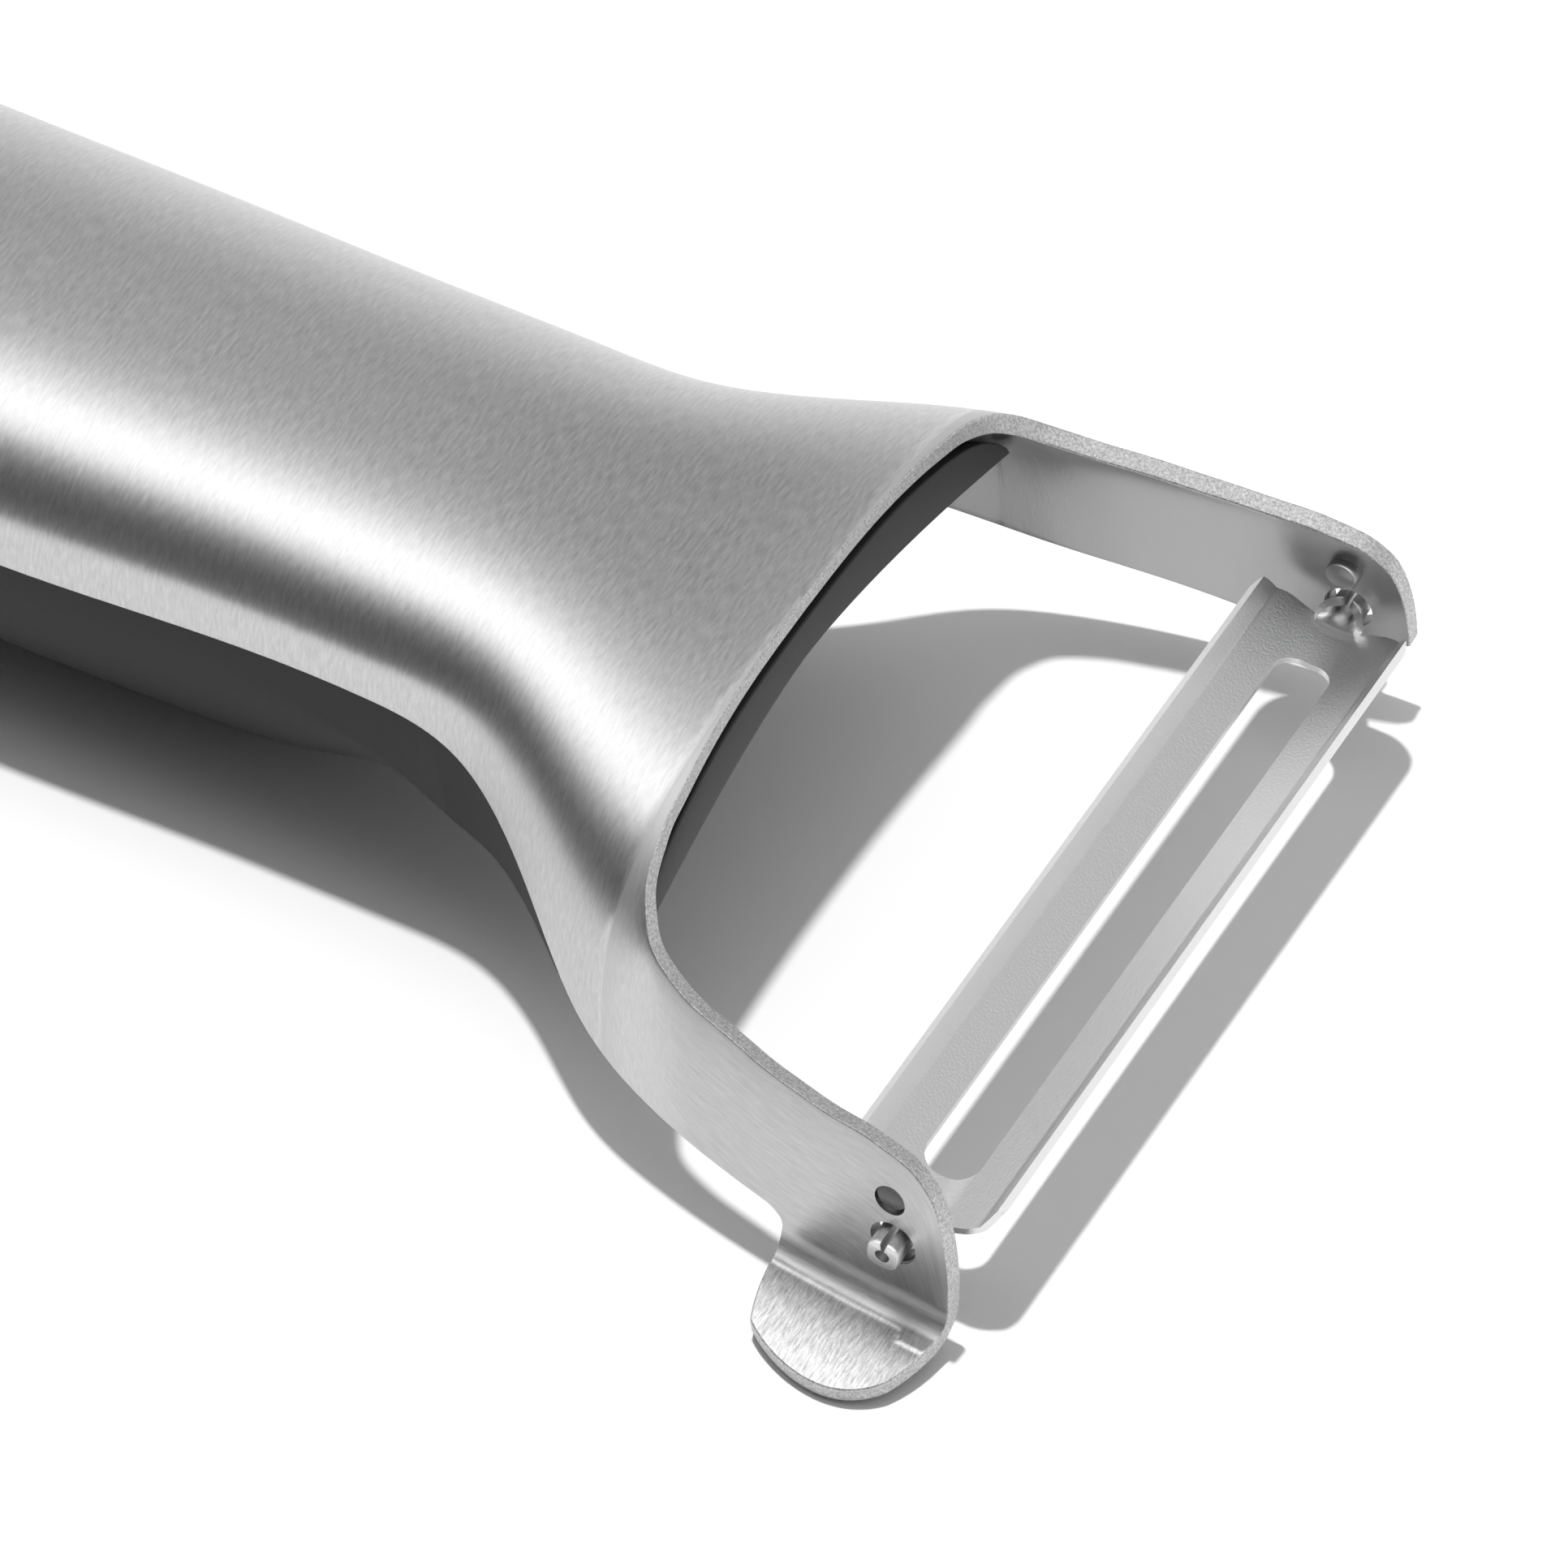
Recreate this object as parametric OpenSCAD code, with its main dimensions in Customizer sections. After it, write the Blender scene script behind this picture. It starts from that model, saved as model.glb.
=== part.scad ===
// Y-shaped vegetable peeler: one formed steel sheet makes the top of the handle, both arms,
// the stops and the scoop for potato eyes; a slotted blade swivels between the arms.
// Units are millimetres. The peeler lies on its grip, its head towards +X, with +Z up.

/* [Overall size] */
// length of the whole peeler, tail to the front edge of the blade
total_length = 168; // [140:1:200]
// height of the blade's pivot over the flat that the grip rests on
pivot_height = 8; // [7.5:0.1:10]
// distance from the pivot back to the narrow waist of the handle
waist_back = 46; // [42:1:52]

/* [Formed sheet] */
// thickness of the steel sheet
sheet_t = 1.3; // [1:0.05:1.5]
// width over the broad part of the handle
grip_w = 32.9; // [31:0.1:36]
// width over the waist
waist_w = 32; // [29:0.1:32.5]
// width over the two arms just behind the pivot
head_w = 62; // [60:0.1:66]
// height of the sheet's top over the pivot, along the handle
handle_top = 19; // [18:0.1:20]
// height of the sheet's top over the pivot, carried on to the arms
head_top = 16.8; // [16:0.1:18]
// height of the sheet's lower edge over the pivot, along the handle
handle_edge = 9.8; // [9:0.1:10.5]
// height of the sheet's lower edge over the pivot at the waist
waist_edge = 10.75; // [10:0.05:11.5]
// depth of the arms' lower edge under the pivot
arm_drop = 4.1; // [3.5:0.1:4.5]
// squareness of the sheet's section along the handle, 2 being an oval
handle_square = 2.6; // [2.2:0.1:3.2]
// squareness of the sheet's section at the arms
arm_square = 3.7; // [3.2:0.1:4.2]
// length over which the tail of the handle is rounded off
tail_round = 17; // [13:0.5:22]
// squareness of the tail seen from above
tail_square = 2.3; // [2:0.1:3]
// how steeply the tail's top rolls down, smaller being steeper
tail_roll = 0.6; // [0.4:0.05:0.9]

/* [Mouth and arms] */
// distance from the pivot back to the middle of the mouth's edge
mouth_back = 23.3; // [22:0.1:26]
// height of the mouth's edge over the pivot
mouth_top = 16.9; // [16:0.1:18]
// distance that the arms reach in front of the pivot
arm_reach = 4.2; // [3.6:0.1:4.8]
// rounding of the far arm's lower front corner
tip_round = 1.7; // [0.5:0.1:2]
// half of the mouth's straight middle part
mouth_flat = 14.2; // [12:0.1:16]

/* [Pivot and stops] */
// diameter of the hole in each arm
pivot_hole_d = 3.2; // [2.8:0.1:3.6]
// gap all round between the blade's journals and the holes
pivot_gap = 0.05; // [0.03:0.01:0.1]
// diameter of the half-sheared stop above each hole
stop_d = 2.2; // [1.8:0.1:2.6]
// height of the stop over the pivot
stop_up = 3.55; // [3.3:0.05:3.9]
// distance from the pivot back to the stop
stop_back = 0.3; // [0:0.1:0.8]
// height of the stop over the arm's inner face
stop_h = 1; // [0.6:0.1:1.2]
// depth of the dimple over the stop in the arm's outer face
stop_dimple = 0.6; // [0.3:0.1:0.8]

/* [Scoop for potato eyes] */
// distance from the pivot back to the scoop's rear edge
scoop_back = 8.3; // [7:0.1:9]
// how far the scoop stands out of the arm
scoop_out = 7.6; // [6:0.1:8.5]
// depth under the pivot where the scoop's bend begins
scoop_drop = 3.9; // [3.7:0.05:4.2]
// inner radius of the scoop's bend
scoop_bend_r = 1.6; // [1.2:0.1:1.8]
// fall of the scoop towards its tip, in degrees
scoop_fall = 9; // [5:0.5:10]
// length of the rounded corner between the arm's lower edge and the scoop
scoop_corner = 1.5; // [1:0.1:2]

/* [Swivel blade] */
// thickness of the blade's sheet
blade_t = 0.5; // [0.4:0.05:0.7]
// width over the blade's turned-up edges
blade_w = 11.2; // [10.5:0.1:12]
// gap between the blade's shoulders and the arms
shoulder_gap = 1.5; // [1.2:0.1:2.2]
// width of the slot between the two cutting edges
slot_w = 3.9; // [3.4:0.1:4.4]
// length of the blade left at each end of the slot
slot_end = 3.8; // [2.6:0.1:5.6]
// radius of the slot's corners
slot_corner = 1.6; // [1:0.1:1.7]
// radius of the blade's outer corners
blade_corner = 1.7; // [1:0.1:2.2]
// slope of the blade's sides beside the slot, in degrees
blade_slope = 23; // [15:1:28]
// slope of the blade's turned-up edges, in degrees
edge_slope = 61; // [50:1:70]
// length of the turned-up edges down the slope
edge_l = 1.35; // [1:0.05:1.7]
// radius of the fold between side and turned-up edge
fold_r = 0.5; // [0.3:0.1:0.8]
// tilt of the blade as it lies, in degrees
blade_tilt = 4; // [0:1:10]
// width of the rolled pin ends that stand out of the arms
pin_d = 2.2; // [1.8:0.1:2.4]
// how far the pins stand out of the arms
pin_proud = 1.3; // [1.2:0.1:2.2]
// opening of the seam in the rolled pins, in degrees
pin_seam = 40; // [20:5:60]

/* [Core and soft grip] */
// gap between sheet, core and grip
fit_gap = 0.3; // [0.25:0.05:0.5]
// distance of the core's front lip behind the mouth's edge
lip_back = 0; // [0:0.1:1]
// greatest height of the shadow gap between the sheet and the lip's front
lip_step = 0.7; // [0.4:0.1:1.2]
// depth of the shadow gap
lip_step_in = 2; // [1:0.1:2.5]
// height over the pivot of the lip's lower edge in the middle
lip_mid = 11.5; // [10.6:0.1:11.8]
// height over the pivot of the lip's lower edge at its sides
lip_side = 8.6; // [7.6:0.1:9.2]
// how far the lip's ends stand in front of its middle
lip_bow = 1.5; // [1:0.1:2]
// bevel round the lip's front face
lip_bevel = 0.15; // [0.1:0.05:0.4]
// depth of the grip's side walls under the sheet where they are deepest
neck_wall = 6.5; // [5.5:0.1:7]
// height of the arched seam between core and grip at the neck
seam_lift = 10.4; // [9.8:0.1:11]
// distance from the pivot back to the seam between grip and lip
seam_back = 27.6; // [27:0.1:29]
// extra depth of the oval belly that the resting flat cuts off
flat_depth = 0.5; // [0.3:0.05:0.8]

/* [Hanging hole] */
// diameter of the hole through the tail
hang_d = 8; // [6:0.5:9]
// wall of the core's collar round the hole
collar_t = 1.4; // [1.2:0.1:2]
// distance of the hole's middle from the tail
hang_in = 13; // [11:0.5:16]
// height of the collar over the sheet's top
collar_up = 0.3; // [0.1:0.1:0.6]
// distance of the collar's lower end over the resting flat
collar_clear = 0.6; // [0.3:0.1:1.5]

/* [Hidden] */
$fn = 64;

// stations along the sheet: shares of the handle behind the waist, then of the waist's distance
handle_shares = [1, 0.8, 0.6, 0.36, 0.223, 0.103];
neck_shares = [1, 0.848, 0.696, 0.565, 0.435, 0.261, 0.087, -0.13];
// widths at those stations: shares from waist to grip, then from waist to head
handle_w_shares = [-0.6, 0.2, 0.9, 1, 0.97, 0];
neck_w_shares = [0, 0.051, 0.32, 0.617, 0.787, 0.92, 1, 1.055];
// lower edge: shares from waist to handle, then from waist to arms
handle_edge_shares = [1.5, 1.2, 1, 1, 1, 0.22];
neck_edge_shares = [0, 0.084, 0.339, 0.62, 0.783, 0.879, 0.96, 1.067];
// top: shares from handle to head
top_shares = [0.4, 0.2, 0.05, 0, 0, 0.02, 0.14, 0.33, 0.6, 0.78, 0.8, 0.93, 1, 1.14];
// squareness: shares from handle to arms
square_shares = [0, 0, 0, 0, 0, 0, 0.04, 0.25, 0.47, 0.61, 0.77, 0.84, 1, 1.15];

// edge of the mouth and arms: across the middle, as shares of mouth_back and of mouth_flat
mouth_x_shares = [1, 0.995, 0.979, 0.97, 0.967];
mouth_y_shares = [0, 0.53, 1, 1.22, 1.36];
// then down and along the arms, as shares of mouth_back and of mouth_top
arm_x_shares = [0.958, 0.942, 0.91, 0.863, 0.781, 0.704, 0.627, 0.532, 0.447, 0.36, 0.279, 0.197];
arm_z_shares = [0.872, 0.799, 0.728, 0.651, 0.592, 0.556, 0.538, 0.515, 0.491, 0.475, 0.46, 0.45];
// then round the tip, as shares of arm_reach and of mouth_top
tip_x_shares = [-0.66, -0.22, 0.2, 0.48, 0.66, 0.79, 0.89, 0.96, 1];
tip_z_shares = [0.445, 0.424, 0.394, 0.343, 0.29, 0.213, 0.118, 0.012, -0.1];
// lower ends of the same lines, as shares of mouth_back, up to the scoop
foot_shares = [
    1, 0.975, 0.945, 0.915, 0.885, 0.85, 0.815, 0.775,
    0.73, 0.68, 0.625, 0.565, 0.505, 0.44, 0.375
];

// underside stations as shares of the waist's distance, tail to lip
under_shares = [1.391, 1.261, 1.13, 1, 0.87, 0.739, 0.63, 0.53, 0.45];
// middle line of the underside: shares from lip to belly
belly_shares = [1, 0.985, 0.89, 0.69, 0.42, 0.18, 0.04, 0, 0];
// side walls of the grip: shares of the deepest wall
wall_shares = [0.12, 0.18, 0.46, 0.71, 1, 0.54, 0.15, 0.06, 0.06];
// arched seam between core and grip: shares of its greatest height
lift_shares = [0, 0, 0, 0, 0, 0.25, 0.87, 1, 1];
// squareness of the seam's arch
arch_power = 2.5;
// shadow gap over the lip, middle to side, as shares of its greatest height
step_shares = [1, 0.82, 0.6, 0.65, 0.3, 0];
// roundness of the lip's bow and of its lower edge, 2 being a parabola
lip_power = 1.6;
// squareness of the scoop's outline at its rear and at its front, smaller being squarer
scoop_powers = [0.28, 0.42];

// steps along and round the sheet over which its slope is taken
probe = 0.3;
probe_turn = 1;

// counts of cells
tail_rows = 8;
handle_rows = 13;
neck_rows = 9;
edge_steps = 2;
side_cells = 13;
scoop_rows = 6;
core_rows = 12;
arch_cells = 20;

// derived sizes, measured from the pivot
front_reach = blade_w / 2;
pivot_x = total_length / 2 - front_reach;
tail_x = front_reach - total_length;
handle_l = -tail_x - waist_back;
grip_half = grip_w / 2;
waist_half = waist_w / 2;
head_half = head_w / 2;
stations = concat(
    [for (s = handle_shares) -waist_back - handle_l * s],
    [for (s = neck_shares) -waist_back * s]
);
halves = concat(
    [for (s = handle_w_shares) waist_half + (grip_half - waist_half) * s],
    [for (s = neck_w_shares) waist_half + (head_half - waist_half) * s]
);
edges = concat(
    [for (s = handle_edge_shares) waist_edge + (handle_edge - waist_edge) * s],
    [for (s = neck_edge_shares) waist_edge - (waist_edge + arm_drop) * s]
);
tops = [for (s = top_shares) handle_top + (head_top - handle_top) * s];
squares = [for (s = square_shares) handle_square + (arm_square - handle_square) * s];
under_x = [for (s = under_shares) -waist_back * s];
belly_low = -pivot_height - flat_depth;
belly_z = [for (s = belly_shares) lip_mid + (belly_low - lip_mid) * s];
walls = [for (s = wall_shares) neck_wall * s];
lifts = [for (s = lift_shares) seam_lift * s];

// smooth curve through the values v at the places t
function knot(t, x, i = 0) = i >= len(t) - 2 || x < t[i + 1] ? i : knot(t, x, i + 1);
function rate(t, v, i) = (v[i + 1] - v[i]) / (t[i + 1] - t[i]);
function slope(t, v, i) =
    i == 0 ? rate(t, v, 0) :
    i == len(t) - 1 ? rate(t, v, i - 1) :
    (rate(t, v, i) * (t[i] - t[i - 1]) + rate(t, v, i - 1) * (t[i + 1] - t[i])) / (t[i + 1] - t[i - 1]);
function blend(a, b, ma, mb, h, u) =
    a * (2 * u ^ 3 - 3 * u ^ 2 + 1) + b * (3 * u ^ 2 - 2 * u ^ 3)
    + ma * h * (u ^ 3 - 2 * u ^ 2 + u) + mb * h * (u ^ 3 - u ^ 2);
function curve(t, v, x) =
    let (i = knot(t, x), h = t[i + 1] - t[i], u = min(1, max(0, (x - t[i]) / h)))
    blend(v[i], v[i + 1], slope(t, v, i), slope(t, v, i + 1), h, u);
function count(n) = [for (i = [0 : n - 1]) i];
function along(v, u) = curve(count(len(v)), v, u);
function mix(a, b, u) = a + (b - a) * u;
function step(u) = let (c = min(1, max(0, u))) c * c * (3 - 2 * c);

// the sheet's section at any place x
function half_at(x) = curve(stations, halves, x);
function edge_at(x) = curve(stations, edges, x);
function top_at(x) = curve(stations, tops, x);
function square_at(x) = curve(stations, squares, x);
function flare_at(x) = atan((half_at(x + probe) - half_at(x - probe)) / (2 * probe));
function inner_half(x, off) = half_at(x) - off / cos(flare_at(x));

// unit point of the section at the angle a from the top, and the angle of a given height
function reach(a, n) = (max(0, sin(a)) ^ n + max(0, cos(a)) ^ n) ^ (-1 / n);
function unit_y(a, n) = a < 90 ? sin(a) * reach(a, n) : 1;
function unit_z(a, n) = a < 90 ? cos(a) * reach(a, n) : cos(a) / sin(a);
function side_share(v, n) = (1 - min(1, max(0, v)) ^ n) ^ (1 / n);
function angle_of_z(x, z) =
    let (v = (z - edge_at(x)) / (top_at(x) - edge_at(x)))
    atan2(side_share(v, square_at(x)), v);
function angle_of_y(x, y) =
    let (v = y / half_at(x))
    atan2(v, side_share(v, square_at(x)));

// point of the surface lying off under the sheet's outer face; f and g draw in width and height
function skin(x, a, off, f = 1, g = 1) =
    let (n = square_at(x), zb = edge_at(x))
    [x, inner_half(x, off) * f * unit_y(a, n), zb + (top_at(x) - off - zb) * g * unit_z(a, n)];

// point lying off under the outer face, measured square to the sheet
function square_skin(x, a, off) =
    let (
        along_x = skin(x + probe, a, 0) - skin(x - probe, a, 0),
        round = skin(x, a + probe_turn, 0) - skin(x, a - probe_turn, 0),
        out = cross(along_x, round)
    )
    skin(x, a, 0) - off * out / norm(out);
function wall_y(x, z, off) =
    inner_half(x, off) * side_share((z - edge_at(x)) / (top_at(x) - off - edge_at(x)), square_at(x));

// rounding of the tail, u running from 0 at the tail's end to 1
function tail_in(u) = 1 - cos(90 * u) ^ (2 / tail_square);
function tail_f(u) = sin(90 * u) ^ (2 / tail_square);
function tail_x_at(u, off) = tail_x + off + (tail_round - off) * tail_in(u);

// lines of the sheet's grid: [place and angle at the top, place and angle at the lower edge]
mouth_rows = [for (i = [0 : len(mouth_x_shares) - 1])
    let (x = -mouth_back * mouth_x_shares[i])
    [x, angle_of_y(x, mouth_flat * mouth_y_shares[i])]];
arm_rows = [for (i = [0 : len(arm_x_shares) - 1])
    let (x = -mouth_back * arm_x_shares[i])
    [x, angle_of_z(x, mouth_top * arm_z_shares[i])]];
tip_rows = [for (i = [0 : len(tip_x_shares) - 1])
    let (x = arm_reach * tip_x_shares[i])
    [x, angle_of_z(x, mouth_top * tip_z_shares[i])]];
edge_rows = concat(mouth_rows, arm_rows, tip_rows);
foot_cells = len(foot_shares) - 1;
scoop_cells = len(edge_rows) - 1 - foot_cells - 1;
scoop_mid = (arm_reach - scoop_back) / 2;
scoop_half = (arm_reach + scoop_back) / 2;
front_x = concat(
    [for (s = foot_shares) -mouth_back * s],
    [for (i = [0 : scoop_cells]) scoop_mid + scoop_half * (2 * i / scoop_cells - 1)]
);
edge_x = [for (r = edge_rows) r[0]];
edge_a = [for (r = edge_rows) r[1]];
last_row = (len(edge_rows) - 1) * edge_steps;
scoop_row = (foot_cells + 1) * edge_steps;
tip_cells = 3;
function tip_cut(side, i) =
    side > 0 ? step((i - last_row) / (tip_cells * edge_steps) + 1) * tip_round : 0;
function corner_share(x) = 1 - sqrt(1 - min(1, max(0, (x + scoop_back) / scoop_corner + 1)) ^ 2);
function foot_angle(side, x, i) =
    let (low = side < 0 ? mix(edge_at(x), -scoop_drop, corner_share(x)) : edge_at(x) + tip_cut(side, i))
    angle_of_z(x, low);
function front_line(side, i) =
    let (u = i / edge_steps, x = along(front_x, u) - tip_cut(side, i))
    [along(edge_x, u), along(edge_a, u), x, foot_angle(side, x, i)];
function handle_line(x) = [x, 0, x, 90];

// places of the grid's rows, tail to mouth
body_x = concat(
    [for (i = [1 : handle_rows]) mix(tail_x + tail_round, -waist_back, i / handle_rows)],
    [for (i = [1 : neck_rows - 1]) mix(-waist_back, -mouth_back, i / neck_rows)]
);
back_rows = tail_rows + len(body_x) + 1;
all_rows = back_rows + last_row;

function grid_point(side, k, j, off) =
    k <= tail_rows ?
    let (
        u = k / tail_rows,
        f = tail_f(u),
        p = skin(tail_x_at(u, off), 90 * j / side_cells, off, f, f ^ tail_roll)
    )
    [p[0], side * p[1], p[2]] :
    let (
        line = k < back_rows ? handle_line(body_x[k - tail_rows - 1]) : front_line(side, k - back_rows),
        u = j / side_cells,
        p = square_skin(mix(line[0], line[2], u), mix(line[1], line[3], u), off)
    )
    [p[0], side * p[1], p[2]];

// the scoop carries the near arm's lower edge on round a bend
scoop_turn = 90 - scoop_fall;
bend_l = scoop_bend_r * scoop_turn * PI / 180;
scoop_flat = (scoop_out - scoop_bend_r * (1 - cos(scoop_turn))) / sin(scoop_turn);
scoop_l = bend_l + scoop_flat;
function scoop_point(r, c, off) =
    let (
        v = r / scoop_rows,
        u = 2 * c / scoop_count - 1,
        power = mix(scoop_powers[0], scoop_powers[1], c / scoop_count),
        x0 = scoop_mid + scoop_half * u,
        x = scoop_mid + scoop_half * u * (1 - v ^ 2 / 2) ^ power,
        d = scoop_l * v * (1 - u ^ 2 / 2) ^ power,
        a = min(scoop_turn, d / scoop_bend_r * 180 / PI),
        s = max(0, d - bend_l),
        out = scoop_bend_r * (1 - cos(a)) + s * sin(a) - off * cos(a),
        down = scoop_bend_r * sin(a) + s * cos(a) + off * sin(a)
    )
    [x + off * sin(flare_at(x0)) * cos(a), -half_at(x0) - out, -scoop_drop - down];

// numbering of the sheet's grid: near side, far side, scoop
scoop_first = back_rows + scoop_row;
scoop_count = all_rows - scoop_first;
near_total = 1 + all_rows * (side_cells + 1);
far_back = back_rows * side_cells;
far_total = far_back + (all_rows - back_rows) * (side_cells + 1);
sheet_total = near_total + far_total + scoop_rows * (scoop_count + 1);
function near_id(k, j) = k == 0 ? 0 : 1 + (k - 1) * (side_cells + 1) + j;
function far_id(k, j) =
    k == 0 || (j == 0 && k <= back_rows) ? near_id(k, j) :
    k <= back_rows ? near_total + (k - 1) * side_cells + j - 1 :
    near_total + far_back + (k - back_rows - 1) * (side_cells + 1) + j;
function scoop_id(r, c) =
    r == 0 ? near_id(scoop_first + c, side_cells) :
    near_total + far_total + (r - 1) * (scoop_count + 1) + c;
function sheet_points(off) = concat(
    [grid_point(-1, 0, 0, off)],
    [for (k = [1 : all_rows]) for (j = [0 : side_cells]) grid_point(-1, k, j, off)],
    [for (k = [1 : back_rows]) for (j = [1 : side_cells]) grid_point(1, k, j, off)],
    [for (k = [back_rows + 1 : all_rows]) for (j = [0 : side_cells]) grid_point(1, k, j, off)],
    [for (r = [1 : scoop_rows]) for (c = [0 : scoop_count]) scoop_point(r, c, off)]
);
function three(a, b, c) = a == b || b == c || a == c ? [] : [[a, b, c]];
function four(a, b, c, d) = concat(three(a, b, c), three(a, c, d));
sheet_faces = concat(
    [for (k = [0 : all_rows - 1]) for (j = [0 : side_cells - 1])
        for (t = four(near_id(k, j), near_id(k + 1, j), near_id(k + 1, j + 1), near_id(k, j + 1))) t],
    [for (k = [0 : all_rows - 1]) for (j = [0 : side_cells - 1])
        for (t = four(far_id(k, j), far_id(k, j + 1), far_id(k + 1, j + 1), far_id(k + 1, j))) t],
    [for (r = [0 : scoop_rows - 1]) for (c = [0 : scoop_count - 1])
        for (t = four(scoop_id(r, c), scoop_id(r, c + 1), scoop_id(r + 1, c + 1), scoop_id(r + 1, c))) t]
);
rim = concat(
    [for (k = [0 : scoop_first - 1]) near_id(k, side_cells)],
    [for (r = [0 : scoop_rows - 1]) scoop_id(r, 0)],
    [for (c = [0 : scoop_count - 1]) scoop_id(scoop_rows, c)],
    [for (r = [scoop_rows : -1 : 1]) scoop_id(r, scoop_count)],
    [for (j = [side_cells : -1 : 1]) near_id(all_rows, j)],
    [for (k = [all_rows : -1 : back_rows + 1]) near_id(k, 0)],
    [for (k = [back_rows : all_rows - 1]) far_id(k, 0)],
    [for (j = [0 : side_cells - 1]) far_id(all_rows, j)],
    [for (k = [all_rows : -1 : 1]) far_id(k, side_cells)]
);

module sheet() {
    outside = sheet_points(0);
    inside = sheet_points(sheet_t);
    turned = [for (t = sheet_faces) [t[2] + sheet_total, t[1] + sheet_total, t[0] + sheet_total]];
    band = [for (i = [0 : len(rim) - 1])
        let (a = rim[i], b = rim[(i + 1) % len(rim)])
        for (t = four(a, b, b + sheet_total, a + sheet_total)) t];
    polyhedron(points = concat(outside, inside), faces = concat(sheet_faces, turned, band), convexity = 8);
}

// a cylinder lying along Y between two distances, on the near side (-1) or the far side (1)
module cross_pin(side, from, to, d) {
    translate([0, side * from, 0])
        rotate([-90 * side, 0, 0])
            cylinder(d = d, h = to - from);
}

arm_outer = half_at(0);
arm_inner = arm_outer - sheet_t;
blade_l = 2 * (arm_inner - shoulder_gap);
slot_l = blade_l - 2 * slot_end;
past = sheet_t;

module steel_body() {
    color([0.72, 0.72, 0.71])
        translate([pivot_x, 0, pivot_height])
            difference() {
                union() {
                    sheet();
                    for (side = [-1, 1])
                        translate([-stop_back, 0, stop_up])
                            cross_pin(side, arm_inner - stop_h, arm_inner + sheet_t / 3, stop_d);
                }
                for (side = [-1, 1]) {
                    cross_pin(side, arm_inner - past, arm_outer + past, pivot_hole_d);
                    translate([-stop_back, 0, stop_up])
                        cross_pin(side, arm_outer - stop_dimple, arm_outer + past, stop_d);
                }
                hang_cut(handle_edge, collar_d + 2 * fit_gap);
            }
}

// half of the blade's section, along its upper face, as [place, height, slope]
trough_r = slot_w / 2 / sin(blade_slope);
side_end = blade_w / 2 - blade_t * sin(edge_slope) - edge_l * cos(edge_slope)
    - fold_r * (sin(edge_slope) - sin(blade_slope));
side_rise = (side_end - slot_w / 2) * tan(blade_slope);
arc_steps = 5;
trough = [for (i = [0 : arc_steps])
    let (a = blade_slope * i / arc_steps)
    [trough_r * sin(a), trough_r * (cos(blade_slope) - cos(a)), a]];
fold = [for (i = [0 : arc_steps])
    let (a = mix(blade_slope, edge_slope, i / arc_steps))
    [
        side_end + fold_r * (sin(a) - sin(blade_slope)),
        side_rise + fold_r * (cos(blade_slope) - cos(a)),
        a
    ]];
fold_end = fold[arc_steps];
flare = [[fold_end[0] + edge_l * cos(edge_slope), fold_end[1] + edge_l * sin(edge_slope), edge_slope]];
upper = concat(trough, fold, flare);
right_top = [for (p = upper) [p[0], p[1]]];
right_low = [for (p = upper) [p[0] + blade_t * sin(p[2]), p[1] - blade_t * cos(p[2])]];
steps = len(upper) - 1;
section = concat(
    [for (i = [steps : -1 : 0]) right_top[i]],
    [for (i = [1 : steps]) [-right_top[i][0], right_top[i][1]]],
    [for (i = [steps : -1 : 0]) [-right_low[i][0], right_low[i][1]]],
    [for (i = [1 : steps]) right_low[i]]
);

module rounded_box(w, l, h, r) {
    translate([-w / 2 + r, -l / 2, -h / 2])
        cube([w - 2 * r, l, h]);
    translate([-w / 2, -l / 2 + r, -h / 2])
        cube([w, l - 2 * r, h]);
    for (sx = [-1, 1])
        for (sy = [-1, 1])
            translate([sx * (w / 2 - r), sy * (l / 2 - r), -h / 2])
                cylinder(r = r, h = h);
}

journal_d = pivot_hole_d - 2 * pivot_gap;
journal_in = blade_l / 2 - blade_t;
journal_out = arm_inner + sheet_t / 2;
pin_out = arm_outer + pin_proud;
pin_bore = pin_d - 2 * blade_t;

module seam_cut(side, from, to) {
    reach_up = pivot_hole_d;
    wide = reach_up * tan(pin_seam);
    translate([0, side * (from + to) / 2, 0])
        rotate([90, 0, 0])
            linear_extrude(height = to - from + 2 * past, center = true)
                polygon([[0, 0], [wide, reach_up], [-wide, reach_up]]);
}

module rolled_pin(side) {
    difference() {
        union() {
            cross_pin(side, journal_in, journal_out, journal_d);
            cross_pin(side, journal_in, pin_out, pin_d);
        }
        cross_pin(side, journal_in - past, pin_out + past, pin_bore);
        seam_cut(side, journal_in, pin_out);
    }
}

module blade() {
    tall = blade_w;
    color([0.8, 0.8, 0.79])
        translate([pivot_x, 0, pivot_height])
            rotate([0, blade_tilt, 0]) {
                difference() {
                    intersection() {
                        rotate([90, 0, 0])
                            linear_extrude(height = blade_l, center = true)
                                polygon(section);
                        rounded_box(blade_w, blade_l, tall, blade_corner);
                    }
                    rounded_box(slot_w, slot_l, tall, slot_corner);
                }
                for (side = [-1, 1])
                    rolled_pin(side);
            }
}

// core and grip
collar_d = hang_d + 2 * collar_t;
hang_x = tail_x + hang_in;

module hang_cut(from, d) {
    high = handle_top + pivot_height;
    translate([hang_x, 0, from - high])
        cylinder(d = d, h = 3 * high);
}

core_off = sheet_t + fit_gap;
function wall_at(x) = curve(under_x, walls, x);
function middle_at(x) = curve(under_x, belly_z, x);
function lift_at(x) = curve(under_x, lifts, x);
function low_power(x) = 2 - curve(under_x, belly_shares, x);
function seam_arch(x, s) = lift_at(x) * (1 - abs(s) ^ arch_power);

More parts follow.
